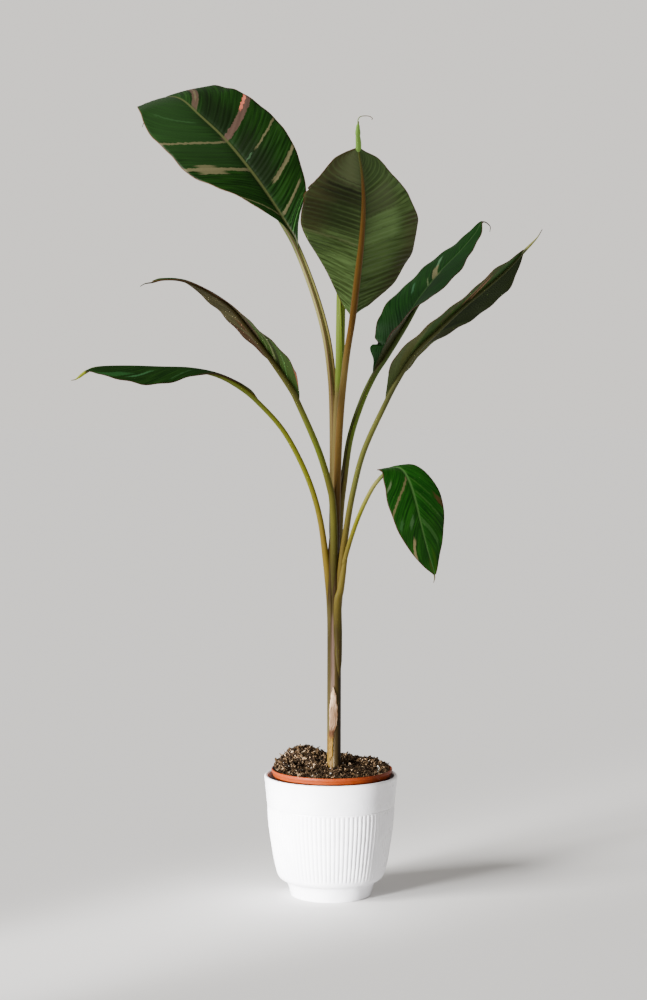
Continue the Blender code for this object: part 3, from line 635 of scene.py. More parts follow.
# %% Marks
# half (1 left, -1 right), start and end along the veins, inner and outer share of the half,
# softness in millimetres, colour, strength, and for a slanting mark its slant
CREAM, MAUVE, PINK, SAGE = "#59553c", "#4c3a32", "#b8624e", "#4c6a4c"
MARKS = {
    "leaf_1_upper_face": [
        (1, 0.42, 1.1, 0, 1.2, 40, "#20381a", 0.55),
        (1, 0.34, 0.43, 0.1, 1.2, 12, "#1c3016", 0.5),
        (-1, 0.47, 0.62, -0.05, 0.55, 16, "#081204", 0.75),
        (-1, 0.24, 0.43, -0.05, 0.5, 22, "#10180a", 0.7),
        (-1, 0.7, 0.712, 0.1, 1.1, 2, "#24421a", 0.5),
        (-1, 0.74, 0.752, 0.05, 1.1, 2, "#24421a", 0.5),
        (-1, 0.64, 0.674, 0.02, 1.1, 2, MAUVE, 0.8, -0.01),
        (-1, 0.652, 0.662, 0.2, 0.8, 1.5, CREAM, 0.6, -0.01),
        (-1, 0.461, 0.485, -0.03, 1.1, 1.2, MAUVE, 0.95, -0.035),
        (-1, 0.477, 0.486, 0.64, 1.1, 1, PINK, 0.95, -0.035),
        (-1, 0.358, 0.364, 0.04, 0.22, 0.8, SAGE, 0.45),
        (-1, 0.362, 0.369, 0.32, 1.1, 1, CREAM, 0.75, -0.024),
        (-1, 0.232, 0.247, 0.27, 1.1, 1.5, CREAM, 0.9, -0.01),
        (-1, 0.126, 0.139, 0.09, 0.88, 1.5, CREAM, 0.85),
        (-1, 0.085, 0.09, 0.2, 1.1, 1, "#3a6a30", 0.5),
        (-1, 0.06, 0.066, 0.1, 1.1, 1, "#3a6a30", 0.7),
        (1, 0.457, 0.466, 0.04, 1.1, 1, CREAM, 0.85, -0.018),
        (1, 0.322, 0.338, 0.02, 1.1, 1.2, CREAM, 0.9),
        (1, 0.304, 0.338, 0.5, 0.84, 1.5, CREAM, 0.85),
        (1, 0.335, 0.352, 0.56, 0.78, 1, CREAM, 0.8),
        (1, 0.128, 0.142, 0.02, 1, 1.5, "#5a5c3c", 0.75),
        # a painted glint line across the blade
        (1, 0.56, 0.568, 0.2, 0.75, 1.5, "#2c4a28", 0.45),
    ],
    "leaf_2_upper_face": [
        (1, 0.55, 0.58, 0.2, 1.1, 1.5, CREAM, 0.9),
        (-1, 0.3, 0.325, 0, 0.8, 1.5, CREAM, 0.9),
        (-1, 0.7, 0.715, 0.1, 1.1, 1.5, MAUVE, 0.9),
    ],
    "leaf_2_underside": [
        (1, 0.72, 1.1, 0, 1.2, 16, "#2e4020", 0.6),
        (1, -0.1, 0.5, 0.8, 1.2, 12, "#3a3422", 0.6),
        (1, 0.1, 0.3, 0.66, 1.2, 16, "#262614", 0.5),
        (1, 0.555, 0.69, 0.04, 0.7, 9, "#464e34", 0.6),
        # a painted sheen over the ridges
        (1, 0.395, 0.555, 0.02, 0.66, 7, "#647e4c", 0.5),
        (1, 0.22, 0.395, 0.1, 0.6, 14, "#4c6036", 0.5),
        (1, 0.462, 0.47, 0.05, 0.72, 3, "#34441f", 0.6),
        (1, 0.512, 0.52, 0.05, 0.66, 3, "#34441f", 0.6),
        (-1, 0.44, 1.1, -0.1, 1.2, 40, "#1a230a", 0.85),
        (-1, 0.4, 0.6, 0.62, 1.2, 16, "#322e18", 0.6),
        (-1, 0.6, 0.9, 0.5, 1.2, 14, "#3c3c22", 0.75),
        # a painted sheen near the rib towards the tip
        (-1, 0.72, 0.96, 0.02, 0.52, 22, "#646c4a", 0.5),
        (-1, 0.62, 0.74, 0.02, 0.72, 8, "#1c1a0a", 0.5),
        (-1, 0.399, 0.407, 0, 1.2, 4, "#4e5236", 0.55),
        (-1, 0.656, 0.668, 0.05, 0.8, 3, "#0a0c03", 0.7),
        (-1, 0.7, 0.712, 0, 0.7, 3, "#0a0c03", 0.6),
        (-1, 0.75, 0.76, 0, 0.6, 3, "#14140a", 0.5),
    ],
    "leaf_3_upper_face": [
        (1, 0.588, 0.612, 0.3, 0.68, 1.5, "#3e5a40", 0.85),
        (1, 0.57, 0.612, -0.08, 0.36, 1.5, CREAM, 0.9),
        (1, 0.53, 0.54, -0.08, 0.26, 1, "#4c5a3c", 0.8),
        (1, 0.398, 0.418, 0.4, 0.66, 2, "#2b4c32", 0.8),
        (-1, -0.1, 0.22, -0.1, 1.2, 12, "#2a2c1c", 0.6),
        (-1, 0.2, 0.6, -0.1, 1.2, 30, "#0b1a0a", 0.5),
    ],
    "leaf_4_upper_face": [
        (1, 0.5, 0.53, 0.1, 1.1, 1.5, CREAM, 0.9),
    ],
    "leaf_4_underside": [
        (-1, -0.1, 0.3, -0.1, 1.2, 24, "#4e5634", 0.5),
        (-1, 0.3, 1.2, -0.1, 1.2, 24, "#264018", 0.7),
        (-1, 0.15, 0.27, 0.1, 1.2, 8, "#4a4822", 0.5),
        (-1, 0.42, 0.5, 0.1, 1.2, 8, "#3e3a22", 0.6),
        (-1, 0.6, 0.68, -0.1, 0.8, 6, "#3c3020", 0.7),
        (-1, 0.58, 0.6, 0.15, 0.9, 3, "#8a5c48", 0.75),
        (-1, 0.645, 0.67, -0.1, 0.6, 3, "#9a6a54", 0.85),
        (-1, 0.74, 0.88, -0.1, 0.9, 8, "#24401f", 0.7),
        (1, 0.34, 1.2, -0.1, 1.2, 30, "#0a1204", 0.9),
        (1, 0.2, 0.34, 0.1, 1.2, 9, "#1c140e", 0.7),
        (1, 0.42, 0.66, 0.7, 1.2, 9, "#1c240c", 0.5),
        (1, -0.1, 0.16, 0.1, 1.2, 9, "#50482c", 0.5),
    ],
    "leaf_5_upper_face": [
        (-1, 0.4, 0.42, 0.1, 1.1, 1.5, CREAM, 0.9),
    ],
    "leaf_5_underside": [
        (1, -0.04, 0.36, -0.1, 1.2, 6, "#2a4418", 0.85),
        (1, 0.235, 0.255, 0, 0.9, 2, "#66684a", 0.65),
        (1, 0.3, 0.315, 0, 0.9, 2, "#5c6844", 0.6),
        (1, 0.12, 0.135, 0, 0.8, 2, "#44683a", 0.55),
        (1, 0.4, 0.46, 0, 0.9, 3, "#3e322a", 0.6),
        (1, 0.19, 0.225, 0, 1.2, 4, "#18120f", 0.7),
        (1, -0.2, -0.05, -0.1, 1.2, 4, "#86503a", 0.9),
        (-1, 0, 0.3, 0.55, 1.2, 9, "#40281c", 0.7),
        (-1, 0.34, 0.42, 0, 0.5, 5, "#54301f", 0.6),
    ],
    "leaf_6_upper_face": [
        (1, 0.6, 0.68, 0.52, 0.95, 3, "#1e4420", 0.7),
        (1, 0.555, 0.575, 0.3, 0.75, 2, "#305634", 0.7),
        (1, 0.335, 0.35, 0.35, 0.8, 2, "#284426", 0.7),
        (1, 0.9, 1.1, -0.1, 1.2, 9, "#444c1a", 0.75),
        (-1, 0.9, 1.1, -0.1, 1.2, 9, "#444c1a", 0.75),
        (1, -0.1, 0.16, -0.1, 1.2, 9, "#30241a", 0.6),
    ],
    "leaf_6_underside": [
        (1, 0.5, 0.53, 0.1, 1.1, 1.5, CREAM, 0.6),
    ],
    "leaf_7_upper_face": [
        (-1, 0.232, 0.262, 0.06, 0.98, 1, "#5a5638", 0.95),
        (-1, 0.566, 0.606, 0.48, 1.1, 1.5, "#74684a", 0.9),
        (-1, 0.035, 0.07, 0.72, 0.94, 1.5, "#586848", 0.8),
        (-1, 0.48, 0.525, 0.25, 0.46, 2, "#3a5634", 0.75),
        (-1, 0.36, 0.4, 0.68, 0.88, 2, "#2c5028", 0.75),
        (1, 0.555, 0.6, 0.06, 0.72, 2, "#2c4c22", 0.75),
        (1, 0.345, 0.362, 0.1, 0.82, 1, "#28481c", 0.75),
        (1, 0.235, 0.25, 0.12, 0.62, 1, "#28481c", 0.6),
        (1, 0.18, 0.24, 0.74, 1.1, 2, "#482a1c", 0.7),
        (1, 0.72, 1.1, 0.3, 1.2, 8, "#2c4c08", 0.6),
        (-1, 0.85, 1.1, 0, 1.2, 8, "#3c4c14", 0.6),
    ],
}
print("marks:", sum(len(marks) for marks in MARKS.values()))


# %% Leaf finish
VEIN_SPACING = 0.0030
PLEAT_SWING, PLEAT_SWING_RATE = 1.2, 45.0  # radians, and radians a metre


def leaf_finish(name, look, pleat, length, rough):
    """One face of a blade: streaked green, fine veins, a pale rib line, marks and a thin margin."""
    f = Finish(name)
    along, across, from_rib = f.mapped("leaf_map")
    to_edge = f.mapped("leaf_edge")[0]
    light = look["light"]
    streak = f.noise(along, across, (230, 1.4))
    cloud = f.noise(along, across, (16, 1.2), z=3.0)
    wander = f.noise(along, across, (70, 2.5), z=7.0)
    color = f.mix(f.fade(streak, 0.34, 0.68), look["dark"], light)
    color = f.over(color, look["tint"], f.fade(cloud, 0.4, 0.7), 0.7)
    phase = f.math("MULTIPLY_ADD", along, 2 * math.pi / VEIN_SPACING, f.product(wander, 9.0))
    vein = f.math("MULTIPLY_ADD", f.math("SINE", phase), 0.5, 0.5)
    color = f.over(color, light, vein, 0.14)
    # the pleats' crests are painted lighter, in the light green: a painted highlight
    swing = f.product(f.math("SINE", f.product(along, PLEAT_SWING_RATE)), PLEAT_SWING)
    crest = f.math("SINE", f.math("MULTIPLY_ADD", along, 2 * math.pi / (pleat * MM), swing))
    crest_highlight_share = f.fade(cloud, 0.35, 0.65, 0.25 * look["crest"], look["crest"])
    lit = f.product(f.fade(crest, 0.2, 1.0), crest_highlight_share)
    color = f.mix(lit, color, light)
    ragged_along = f.centred(f.noise(along, across, (60, 14), z=11.0), 0.007)
    ragged_across = f.centred(f.noise(along, across, (900, 1.5), z=5.0), 0.22)
    moved_along = f.math("ADD", along, ragged_along)
    moved_across = f.math("ADD", across, ragged_across)
    for half, start, end, inner, outer, soft, tint, strength, *slant in MARKS.get(name, []):
        here = moved_along
        if slant:
            slope = -slant[0] * length
            here = f.math("MULTIPLY_ADD", f.math("ABSOLUTE", across), slope, moved_along)
        soft_along, soft_across = soft * MM * 0.5, 0.04 + soft * 0.01
        reach = (end - start) / 2 * length
        away = f.apart(here, (start + end) / 2 * length)
        band = f.fade(away, reach + soft_along, max(reach - soft_along, 0))
        spread = (outer - inner) / 2
        away = f.apart(moved_across, half * (inner + outer) / 2)
        side = f.fade(away, spread + soft_across, spread - soft_across)
        color = f.over(color, tint, band, side, strength)
    # the painted highlight on the pleats' crests, laid again over the marks
    if "lines" in look:
        color = f.over(color, light, lit, look["lines"])
    if "flecks" in look:
        speck = f.noise(along, across, (620, 22), z=13.0)
        color = f.mix(f.fade(speck, 0.68, 0.74, 0.0, look["flecks"]), color, "#6c8a5c")
    rib_width = look["rib_width"] * MM
    color = f.over(color, look["rib"], f.fade(from_rib, rib_width, rib_width * 0.35), 0.85)
    color = f.mix(f.fade(to_edge, 0.0014, 0.0005), color, look["margin"])
    return f.skin(color, streak, rough - 0.07, rough + 0.09, 0.07, 0.00012, 0.6)


leaf_finishes = {}
for name, look in LOOKS.items():
    pleat, length = look["ridge"][1], SHAPES[name].length
    leaf_finishes[name] = (
        leaf_finish(name + "_upper_face", look["upper"], pleat, length, rough=0.40),
        leaf_finish(name + "_underside", look["lower"], pleat, length, rough=0.52),
    )
print("leaf finishes:", 2 * len(leaf_finishes))

# %% [markdown]
# ## The blades
# A blade is one sheet of quads, fine enough to carry the shallow pleats between its veins. A
# Solidify modifier gives it its thickness, and its material offset paints the underside with the
# second finish, which is how one thin body can be green above and bronze below.

# %% Blades
ROW_STEP = 0.0016
COLUMNS = 18
SHEET_THICKNESS = 0.0007
CALM_WIDTH = 0.03  # pleats and frill grow weaker where the blade is narrower than this
GUTTER_CLOSES, GUTTER_FADE = 0.12, 0.2  # places along the blade
GUTTER_DEPTH = 0.55


def gutter_left(place):
    """How much is left of the stalk's gutter, from 1 on the stalk to 0 where it has closed."""
    return np.clip((GUTTER_CLOSES - place) / GUTTER_FADE, 0, 1)


def blade_mesh(name, shape, look):
    rows = round(shape.length / ROW_STEP)
    signed, along = np.meshgrid(np.linspace(1, -1, 2 * COLUMNS + 1), np.linspace(0, 1, rows + 1))
    across = np.abs(signed)
    lean, more_lean = look["veins"]
    vein = (along - across * (lean + more_lean * along**2)) * shape.length
    height, spacing = look["ridge"]
    turns = 2 * np.pi * vein / (spacing * MM)
    pleat = height * MM * np.sin(turns + PLEAT_SWING * np.sin(vein * PLEAT_SWING_RATE))
    halves = {}
    for half in (1, -1):
        place, width = shape.width(half, along, across)
        wide = np.minimum(1, width / CALM_WIDTH)
        calm = np.clip(across / 0.15, 0, 1) * np.clip((1 - across) / 0.12, 0.25, 1) * wide
        frill = 0.9 * MM * across**5 * np.sin(place * shape.length * 150 + 2 * half) * wide
        rib, away = shape.rib_radius(place), across * width
        channel = -0.5 * MM * bell(away, 0.0022)
        seat = -0.45 * MM * bell(away, 0.8 * rib)
        gutter = -GUTTER_DEPTH * rib * gutter_left(place) * bell(away, 0.5 * rib)
        relief = pleat * calm + frill + channel + seat + gutter
        halves[half] = shape.blade_point(half, along, across, relief), width
    is_left = signed > 0
    points = np.where(is_left[..., None], halves[1][0], halves[-1][0])
    width = np.where(is_left, halves[1][1], halves[-1][1])
    maps = {
        "leaf_map": stacked(vein, signed, across * width / (1.1 - 0.7 * along)),
        "leaf_edge": stacked((1 - across) * width, 0, 0),
    }
    faces = grid_faces(*signed.shape)
    blade = new_piece(name + "_blade_fine", points, faces, leaf_finishes[name], maps)
    return as_sheet(blade, SHEET_THICKNESS, other_side=1)


for name, look in LOOKS.items():
    stands_for(blade_mesh(name, SHAPES[name], look), "leaf_blade", name + "_blade")

# %% [markdown]
# ## Stalks, ribs and tails
# A banana stalk is not round: it is a gutter, open on its upper side, whose two thin edges are
# often red or brown. The gutter closes under the blade, where the stalk becomes the rib, and
# ends in a thread. A cross-section that changes along a curve is easiest as rings of points.

# %% Stalk looks
# a row for each place up the stalk, a column for each leaf; the joint is where the stalk joins the
# stem, and rib_until is how far along the blade the rib's colour lasts
STALK_COLORS = dict(
    joint=("#3c3018", "#3a2810", "#4a3c1c", "#3c3014", "#3c3414", "#4a3c14", "#30240e"),
    foot=("#62522a", "#624a1e", "#5e5428", "#58491a", "#54501c", "#705c1e", "#665824"),
    stalk=("#827c46", "#6e5c2e", "#56691e", "#5a5c28", "#566018", "#6a6c18", "#747416"),
    near_blade=("#82804c", "#563a0f", "#4a5a18", "#5a5b2a", "#5a5e20", "#5c621a", "#87844a"),
    # leaf 4's rib and tip are darkened into a shadow line along its rib: painted shade
    rib=("#46502a", "#4c3209", "#384620", "#3e4020", "#4c4a20", "#4c5418", "#38582c"),
    tip=("#404a20", "#3c4418", "#283416", "#2e3418", "#302410", "#465018", "#445020"),
    tail=("#3a3418", "#628838", "#2c2414", "#6c6c38", "#2c2416", "#848c20", "#483e1c"),
    thread=("#3a3020", "#4a3a24", "#2c2414", "#3a3020", "#2c2416", "#5c5430", "#483e1c"),
    gutter_edge=("#40281a", "#4a2a12", "#381f20", "#40281a", "#4c3818", "#6a4414", "#5c3c20"),
    rib_until=(0.3, 0.78, 0.3, 0.4, 0.16, 0.4, 0.3),
)
TOP_OF_RING, LIP_FROM_TOP = 0.25, 0.125  # shares of a turn round the stalk


def stalk_finish(name, look):
    f = Finish(name)
    stage, around, run = f.mapped("stalk_map")
    rib_end = 0.5 + 0.25 * look["rib_until"]
    stops = [(0.0, "joint"), (0.10, "joint"), (0.19, "foot"), (0.26, "foot"), (0.36, "stalk"),
             (0.47, "near_blade"), (0.51, "rib"), (rib_end, "rib"), (rib_end + 0.04, "tip"),
             (0.755, "tip"), (0.785, "tail"), (0.93, "tail"), (0.96, "thread")]
    color = f.ramp(f.math("DIVIDE", stage, 4.0), [(place, look[part]) for place, part in stops])
    streak = f.noise(run, around, (9, 46))
    fleck = f.noise(run, around, (160, 30), z=2.0)
    stalk = rgb(look["stalk"])
    darker, lighter = tuple(0.5 * c for c in stalk), tuple(min(1, 1.35 * c) for c in stalk)
    color = f.mix(f.fade(streak, 0.42, 0.72, 0.0, 0.55), color, darker)
    color = f.mix(f.fade(fleck, 0.55, 0.8, 0.0, 0.3), color, lighter)
    from_lip = f.apart(f.apart(around, TOP_OF_RING), LIP_FROM_TOP)
    free = f.product(f.fade(stage, 0.5, 1.1), f.fade(stage, 2.3, 2.0))
    color = f.over(color, look["gutter_edge"], f.fade(from_lip, 0.045, 0.012), free, 0.85)
    return f.skin(color, streak, 0.38, 0.52, 0.10, 0.0003, 0.6)


stalk_finishes = {}
for k, name in enumerate(LEAVES):
    look = {place: row[k] for place, row in STALK_COLORS.items()}
    stalk_finishes[name] = stalk_finish(name + "_stalk_skin", look)
print("stalk finishes:", len(stalk_finishes))


# %% Rings along a line
def rings(centres, sides, ups, radii, angle=None):
    """Points on rings; radii has a row for each ring and a column for each direction around it."""
    if angle is None:
        angle = np.linspace(0, 2 * np.pi, radii.shape[1], endpoint=False)[None, :]
    outward = np.cos(angle)[..., None] * sides[:, None] + np.sin(angle)[..., None] * ups[:, None]
    return centres[:, None] + outward * radii[..., None]


def closed_tubes(tubes):
    """Tubes of rings in one mesh, with two end faces each: points, faces and slots, one a tube."""
    points, faces, slots = np.zeros((0, 3)), [], []
    for slot, tube in enumerate(tubes):
        rows, columns = tube.shape[:2]
        first, last = len(points), len(points) + (rows - 1) * columns
        faces += [tuple(face) for face in grid_faces(rows, columns, around=True) + first]
        faces.append(tuple(range(first + columns - 1, first - 1, -1)))
        faces.append(tuple(range(last, last + columns)))
        slots += [slot] * (len(faces) - len(slots))
        points = np.vstack([points, tube.reshape(-1, 3)])
    return points, faces, slots


# %% Stalk pieces
STALK_SIDES = 28
STALK_STEP = 0.003
OVERLAP = 0.012


def stalk_rings(shape, start, end, taper):
    """Rings of the gutter-shaped stalk between two runs; taper is a table of run and share."""
    count = max(4, round((end - start) / STALK_STEP))
    run = np.linspace(start, end, count + 1)
    place = (run - shape.blade_start) / shape.length
    free = np.clip((run - shape.free_from + 0.02) / 0.05, 0, 1) * gutter_left(place)
    turn = np.linspace(0, 1, STALK_SIDES, endpoint=False)[None, :]
    from_top = np.abs((turn - TOP_OF_RING + 0.5) % 1 - 0.5)
    gutter = GUTTER_DEPTH * bell(from_top, 0.075) - 0.05 * bell(from_top - LIP_FROM_TOP, 0.03)
    share = np.interp(run, *np.transpose(taper))
    radii = (shape.radius(run) * share)[:, None] * (1 - free[:, None] * gutter)
    # the stage is 0 to 1 in the stem, then to 2 on the stalk, 3 on the rib and 4 on the tail
    marks = [0, shape.free_from, shape.blade_start, shape.blade_end, shape.run[-1] + 1e-6]
    stage = np.interp(run, marks, range(5))[:, None]
    return rings(*shape.frame(place), radii), stacked(stage, turn, run[:, None])


# the stub of leaf 2 that goes on past its tip and curls into a dry thread
HOOKED_LEAF = "leaf_2"
HOOK_PATH = [(38, -269, 1136), (38, -279, 1146), (37, -290, 1156), (37, -300, 1168),
             (37, -305, 1176), (40, -308, 1180), (46, -310, 1181), (53, -313, 1180),
             (57, -315, 1177), (56, -315, 1175)]
HOOK_RADII = [(0, 2.2), (0.07, 4.3), (0.24, 4.0), (0.35, 3.4), (0.40, 3.9), (0.49, 3.0),
              (0.55, 2.5), (0.585, 1.1), (0.64, 0.7), (1, 0.5)]
HOOK_SIDES = 12


def hooked_tail():
    line = catmull_rom(np.array(HOOK_PATH) * MM)[::4]
    along = unit(np.gradient(line, axis=0))
    side = unit(np.cross(along, [0.2, 1, 0.1]))
    share = runs_of(line) / runs_of(line)[-1]
    radii = smooth_table(HOOK_RADII, share)[:, None] * MM * np.ones((1, HOOK_SIDES))
    stage = 3.2 + 0.8 * share[:, None]
    return rings(line, side, np.cross(along, side), radii), stacked(stage, np.zeros(HOOK_SIDES), 0)


# leaves whose tip ends in a fleshy point: how far along the tail, and how many times as thick
THICK_TIPS = {
    "leaf_4": [(-0.4, 1.0), (0, 2.0), (0.3, 2.0), (0.7, 1.2), (1, 1.0)],
    "leaf_6": [(-0.4, 1.0), (0, 2.4), (0.45, 2.6), (0.75, 1.3), (1, 1.0)],
}
# the stalk that is slimmer than its solid, and how thick it is beside it
SLIM_STALKS = {"leaf_2": 0.80}

for name, shape in SHAPES.items():
    begin, slim = shape.free_from - OVERLAP, SLIM_STALKS.get(name, 1.0)
    taper = [
        (begin, 0.9 * slim),
        (begin + 0.004, 1.01 * slim),
        (shape.free_from + 0.01, slim),
        (shape.blade_start - 0.02, slim),
        (shape.blade_start + 0.02, (1 + slim) / 2),
        (shape.blade_start + 0.1, 1.0),
    ]
    if name in THICK_TIPS:
        tail = shape.run[-1] - shape.blade_end
        taper += [(shape.blade_end + share * tail, size) for share, size in THICK_TIPS[name]]
    tubes = [stalk_rings(shape, begin, shape.run[-1], taper)]
    if name == HOOKED_LEAF:
        tubes.append(hooked_tail())
    points, faces, _ = closed_tubes([tube for tube, _ in tubes])
    maps = {"stalk_map": np.vstack([values.reshape(-1, 3) for _, values in tubes])}
    piece = new_piece(name + "_stalk_fine", points, faces, [stalk_finishes[name]], maps)
    stands_for(piece, "leaf_stalk", name + "_stalk")

# %% [markdown]
# ## The stem
# The stem of a banana is no real stem: it is the feet of all its leaves, wrapped round each
# other. So it is built here as one core with the foot of each stalk laid over it, and the core's
# section has shallow steps where one sheath overlaps the next.

# %% Stem finish
STEM_X = 0.0045
STEM_LEAN = 0.002
STEM_RADIUS = 0.0112
STEM_BOTTOM = 0.1400
STRIP_AT = 0.714
STEM_SHAPE = [(0.140, 1.0), (0.200, 1.0), (0.300, 1.0), (0.400, 1.0), (0.480, 1.06), (0.535, 0.95),
              (0.590, 0.5)]


def stem_finish():
    f = Finish("stem_sheath_skin")
    height, around, _ = f.mapped("stem_map")
    streak = f.noise(height, around, (7, 60))
    fleck = f.noise(height, around, (90, 40), z=4.0)
    # the colour round the stem, lightest on the left and darkest on the right, is painted light and
    # shade over its own olive and brown
    color = f.ramp(around, [
        (0.00, "#20180a"), (0.25, "#3a3018"), (0.50, "#4e4420"), (0.60, "#4c4420"),
        (0.66, "#403618"), (0.77, "#40341a"), (0.82, "#3c3010"), (0.90, "#20180a"),
        (1.00, "#20180a"),
    ])
    # the pale strip that runs up the front
    wavy = f.centred(f.noise(height, around, (30, 3), z=9.0), 0.03)
    from_strip = f.apart(f.math("ADD", around, wavy), STRIP_AT)
    strip = f.product(f.fade(from_strip, 0.046, 0.034), f.fade(height, 0.452, 0.428))
    color = f.over(color, "#604c42", strip, f.fade(height, 0.252, 0.275, 0.0, 0.9))
    # darker high up, where the core shows between the leaves' feet: painted shade
    color = f.mix(f.fade(height, 0.445, 0.475, 0.0, 0.8), color, "#2c1d08")
    # shadow low on the left, ochre at the left of the foot, shadow at its right
    color = f.over(color, "#241c0a", f.fade(height, 0.44, 0.40), f.fade(around, 0.68, 0.64), 0.6)
    left_side = f.product(f.fade(around, 0.50, 0.56), f.fade(around, 0.74, 0.71))
    color = f.over(color, "#48340c", f.fade(height, 0.262, 0.250), left_side, 0.85)
    color = f.over(color, "#1c1408", f.fade(height, 0.300, 0.255), f.fade(around, 0.73, 0.77), 0.75)
    color = f.mix(f.fade(streak, 0.45, 0.75, 0.0, 0.5), color, "#1c1406")
    color = f.mix(f.fade(fleck, 0.6, 0.8, 0.0, 0.35), color, "#6a5c34")
    return f.skin(color, streak, 0.45, 0.60, 0.10, 0.0005, 0.8)


sheath_finish = stem_finish()
print("stem finish:", sheath_finish.name)


# %% Stem core
CORE_SIDES = 72
CORE_STEP = 0.004


def core_rings():
    """The core, with the steps and the slit where one sheath ends on the next."""
    height = np.arange(STEM_BOTTOM, STEM_SHAPE[-1][0] + 1e-6, CORE_STEP)
    share = smooth_table(STEM_SHAPE, height)[:, None]
    centre = stacked(STEM_X + STEM_LEAN * (height - STEM_BOTTOM), 0, height)
    height = height[:, None]
    turn = np.linspace(0, 1, CORE_SIDES, endpoint=False)[None, :]
    seam = (turn - 0.712 - 0.02 * np.sin(height * 9)) % 1
    overlap = 0.05 * (1 - seam) ** 2 * np.clip((0.52 - height) / 0.1, 0, 1)
    slit = 0.10 * bell((seam + 0.5) % 1 - 0.5, 0.010)
    second = 0.03 * (1 - (turn - 0.28) % 1) ** 2
    from_strip = np.abs(turn - STRIP_AT) / 0.040
    strip = 0.06 * np.clip((1 - from_strip) / 0.2, 0, 1) * np.clip((height - 0.33) / 0.02, 0, 1)
    radii = STEM_RADIUS * share * (0.95 + overlap + second - slit - strip)
    points = rings(centre, np.array([[1.0, 0, 0]]), np.array([[0, 1.0, 0]]), radii)
    return points, stacked(height, turn, 0)


core, core_map = core_rings()
print("core of", len(core), "rings,", round(core[-1, 0, 2], 3), "m up")


# %% Rolled leaf's line and finish
ROLLED_PATH = [(7, 2, 620), (9, 0, 732), (12, -1, 786), (14, -1, 840), (15, 0, 895), (16, 2, 949),
               (20, 4, 1026), (25, 6, 1088), (29, 7, 1127)]
ROLLED_LEAVES_STEM_AT = 0.792
ROLLED_SIDES = 40
rolled_line = catmull_rom(np.array(ROLLED_PATH) * MM)
rolled_split = int(np.argmax(rolled_line[:, 2] >= ROLLED_LEAVES_STEM_AT))
rolled_along = unit(np.gradient(rolled_line, axis=0))
rolled_runs = runs_of(rolled_line) - runs_of(rolled_line)[rolled_split]


def rolled_rings(stretch, radii):
    """Rings of a stretch of the rolled leaf, with the step where its free edge winds round it."""
    line, along, run = rolled_line[stretch], rolled_along[stretch], rolled_runs[stretch]
    side = unit(np.array([1.0, 0, 0]) - along * along[:, :1])
    wound = np.linspace(0, 1, ROLLED_SIDES)[None, :] + 0 * line[:, 2:]
    angle = 2 * np.pi * (wound - 0.22 - line[:, 2:] * 1.1)
    points = rings(line, side, np.cross(along, side), radii[:, None] * (0.92 + 0.10 * wound), angle)
    return points, stacked(run[:, None], 0, wound)


def young_leaf_finish():
    f = Finish("young_leaf_green")
    run, _, wound = f.mapped("roll_map")
    streak = f.noise(wound, run, (60, 3))
    color = f.mix(f.fade(streak, 0.35, 0.7), "#4c6018", "#74822e")
    # darker beside the step, under the roll's free edge: painted shade
    color = f.mix(f.fade(wound, 0.06, 0.0), color, "#2c3a0c")
    color = f.mix(f.fade(run, 0.020, -0.012), color, "#5e5228")
    return f.skin(color, streak, 0.42, 0.55, 0.12, 0.0004)


young_finish = young_leaf_finish()
print("rolled leaf free for", round(rolled_runs[-1], 3), "m")


# %% Stem piece
# the foot of the lowest leaf wraps the right side of the stem: how far it is moved at its bottom,
# in millimetres, and its run and share of the stalk's radius
WRAPPED_FOOT = "leaf_7"
FOOT_SHIFT = 8.0
FOOT_WIDTH = [(0, 0.15), (0.03, 0.75), (0.08, 1.2), (0.13, 1.4), (0.17, 1.2), (0.198, 0.85)]


def stem_piece():
    parts = [(core, core_map, "stem_map")]
    for name, shape in SHAPES.items():
        free, slim = shape.free_from, SLIM_STALKS.get(name, 1.0)
        taper = [(0, 0.4), (0.11, slim), (free - OVERLAP + 0.004, slim), (free, 0.8 * slim)]
        if name == WRAPPED_FOOT:
            taper = FOOT_WIDTH
        points, values = stalk_rings(shape, 0.0, free, taper)
        if name == WRAPPED_FOOT:
            points[..., 0] += FOOT_SHIFT * MM * np.linspace(1, 0, len(points))[:, None] ** 0.7
        parts.append((points, values, "stalk_map"))
    # the rolled leaf's foot, whose last three rings draw in under the free part
    tuck = np.clip(np.arange(rolled_split, -1, -1) / 3, 0, 1)
    parts.append((*rolled_rings(slice(0, rolled_split + 1), (5.8 + 0.6 * tuck) * MM), "roll_map"))
    points, faces, slots = closed_tubes([part[0] for part in parts])
    maps = {}
    for key in ("stem_map", "stalk_map", "roll_map"):
        own = [values if used == key else np.zeros_like(values) for _, values, used in parts]
        maps[key] = np.vstack([values.reshape(-1, 3) for values in own])
    finishes = [sheath_finish, *stalk_finishes.values(), young_finish]
    return new_piece("pseudostem_fine", points, faces, finishes, maps, slots)


stands_for(stem_piece(), "stem_sheaths", "pseudostem")

# %% [markdown]
# ## The rolled leaf
# The youngest leaf comes up out of the stem's middle rolled like a cigar. One tapering tube with
# a single step winding up it reads as a roll; no real spiral is needed inside.

# %% Rolled leaf
ROLLED_RADII = [(0, 6.6), (0.3, 7.4), (0.6, 7.0), (0.85, 4.0), (1, 1.2)]
# it starts three rings down in the stem, drawn in a little there
above = slice(rolled_split - 3, None)
share = np.linspace(0, 1, len(rolled_line[above]))
radii = smooth_table(ROLLED_RADII, share) - 0.7 * np.clip(1 - np.arange(len(share)) / 3, 0, 1)
points, values = rolled_rings(above, radii * MM)
points, faces, _ = closed_tubes([points])
rolled = new_piece("rolled_leaf_fine", points, faces, [young_finish], {"roll_map": values})
stands_for(rolled, "rolled_leaf", "rolled_leaf")

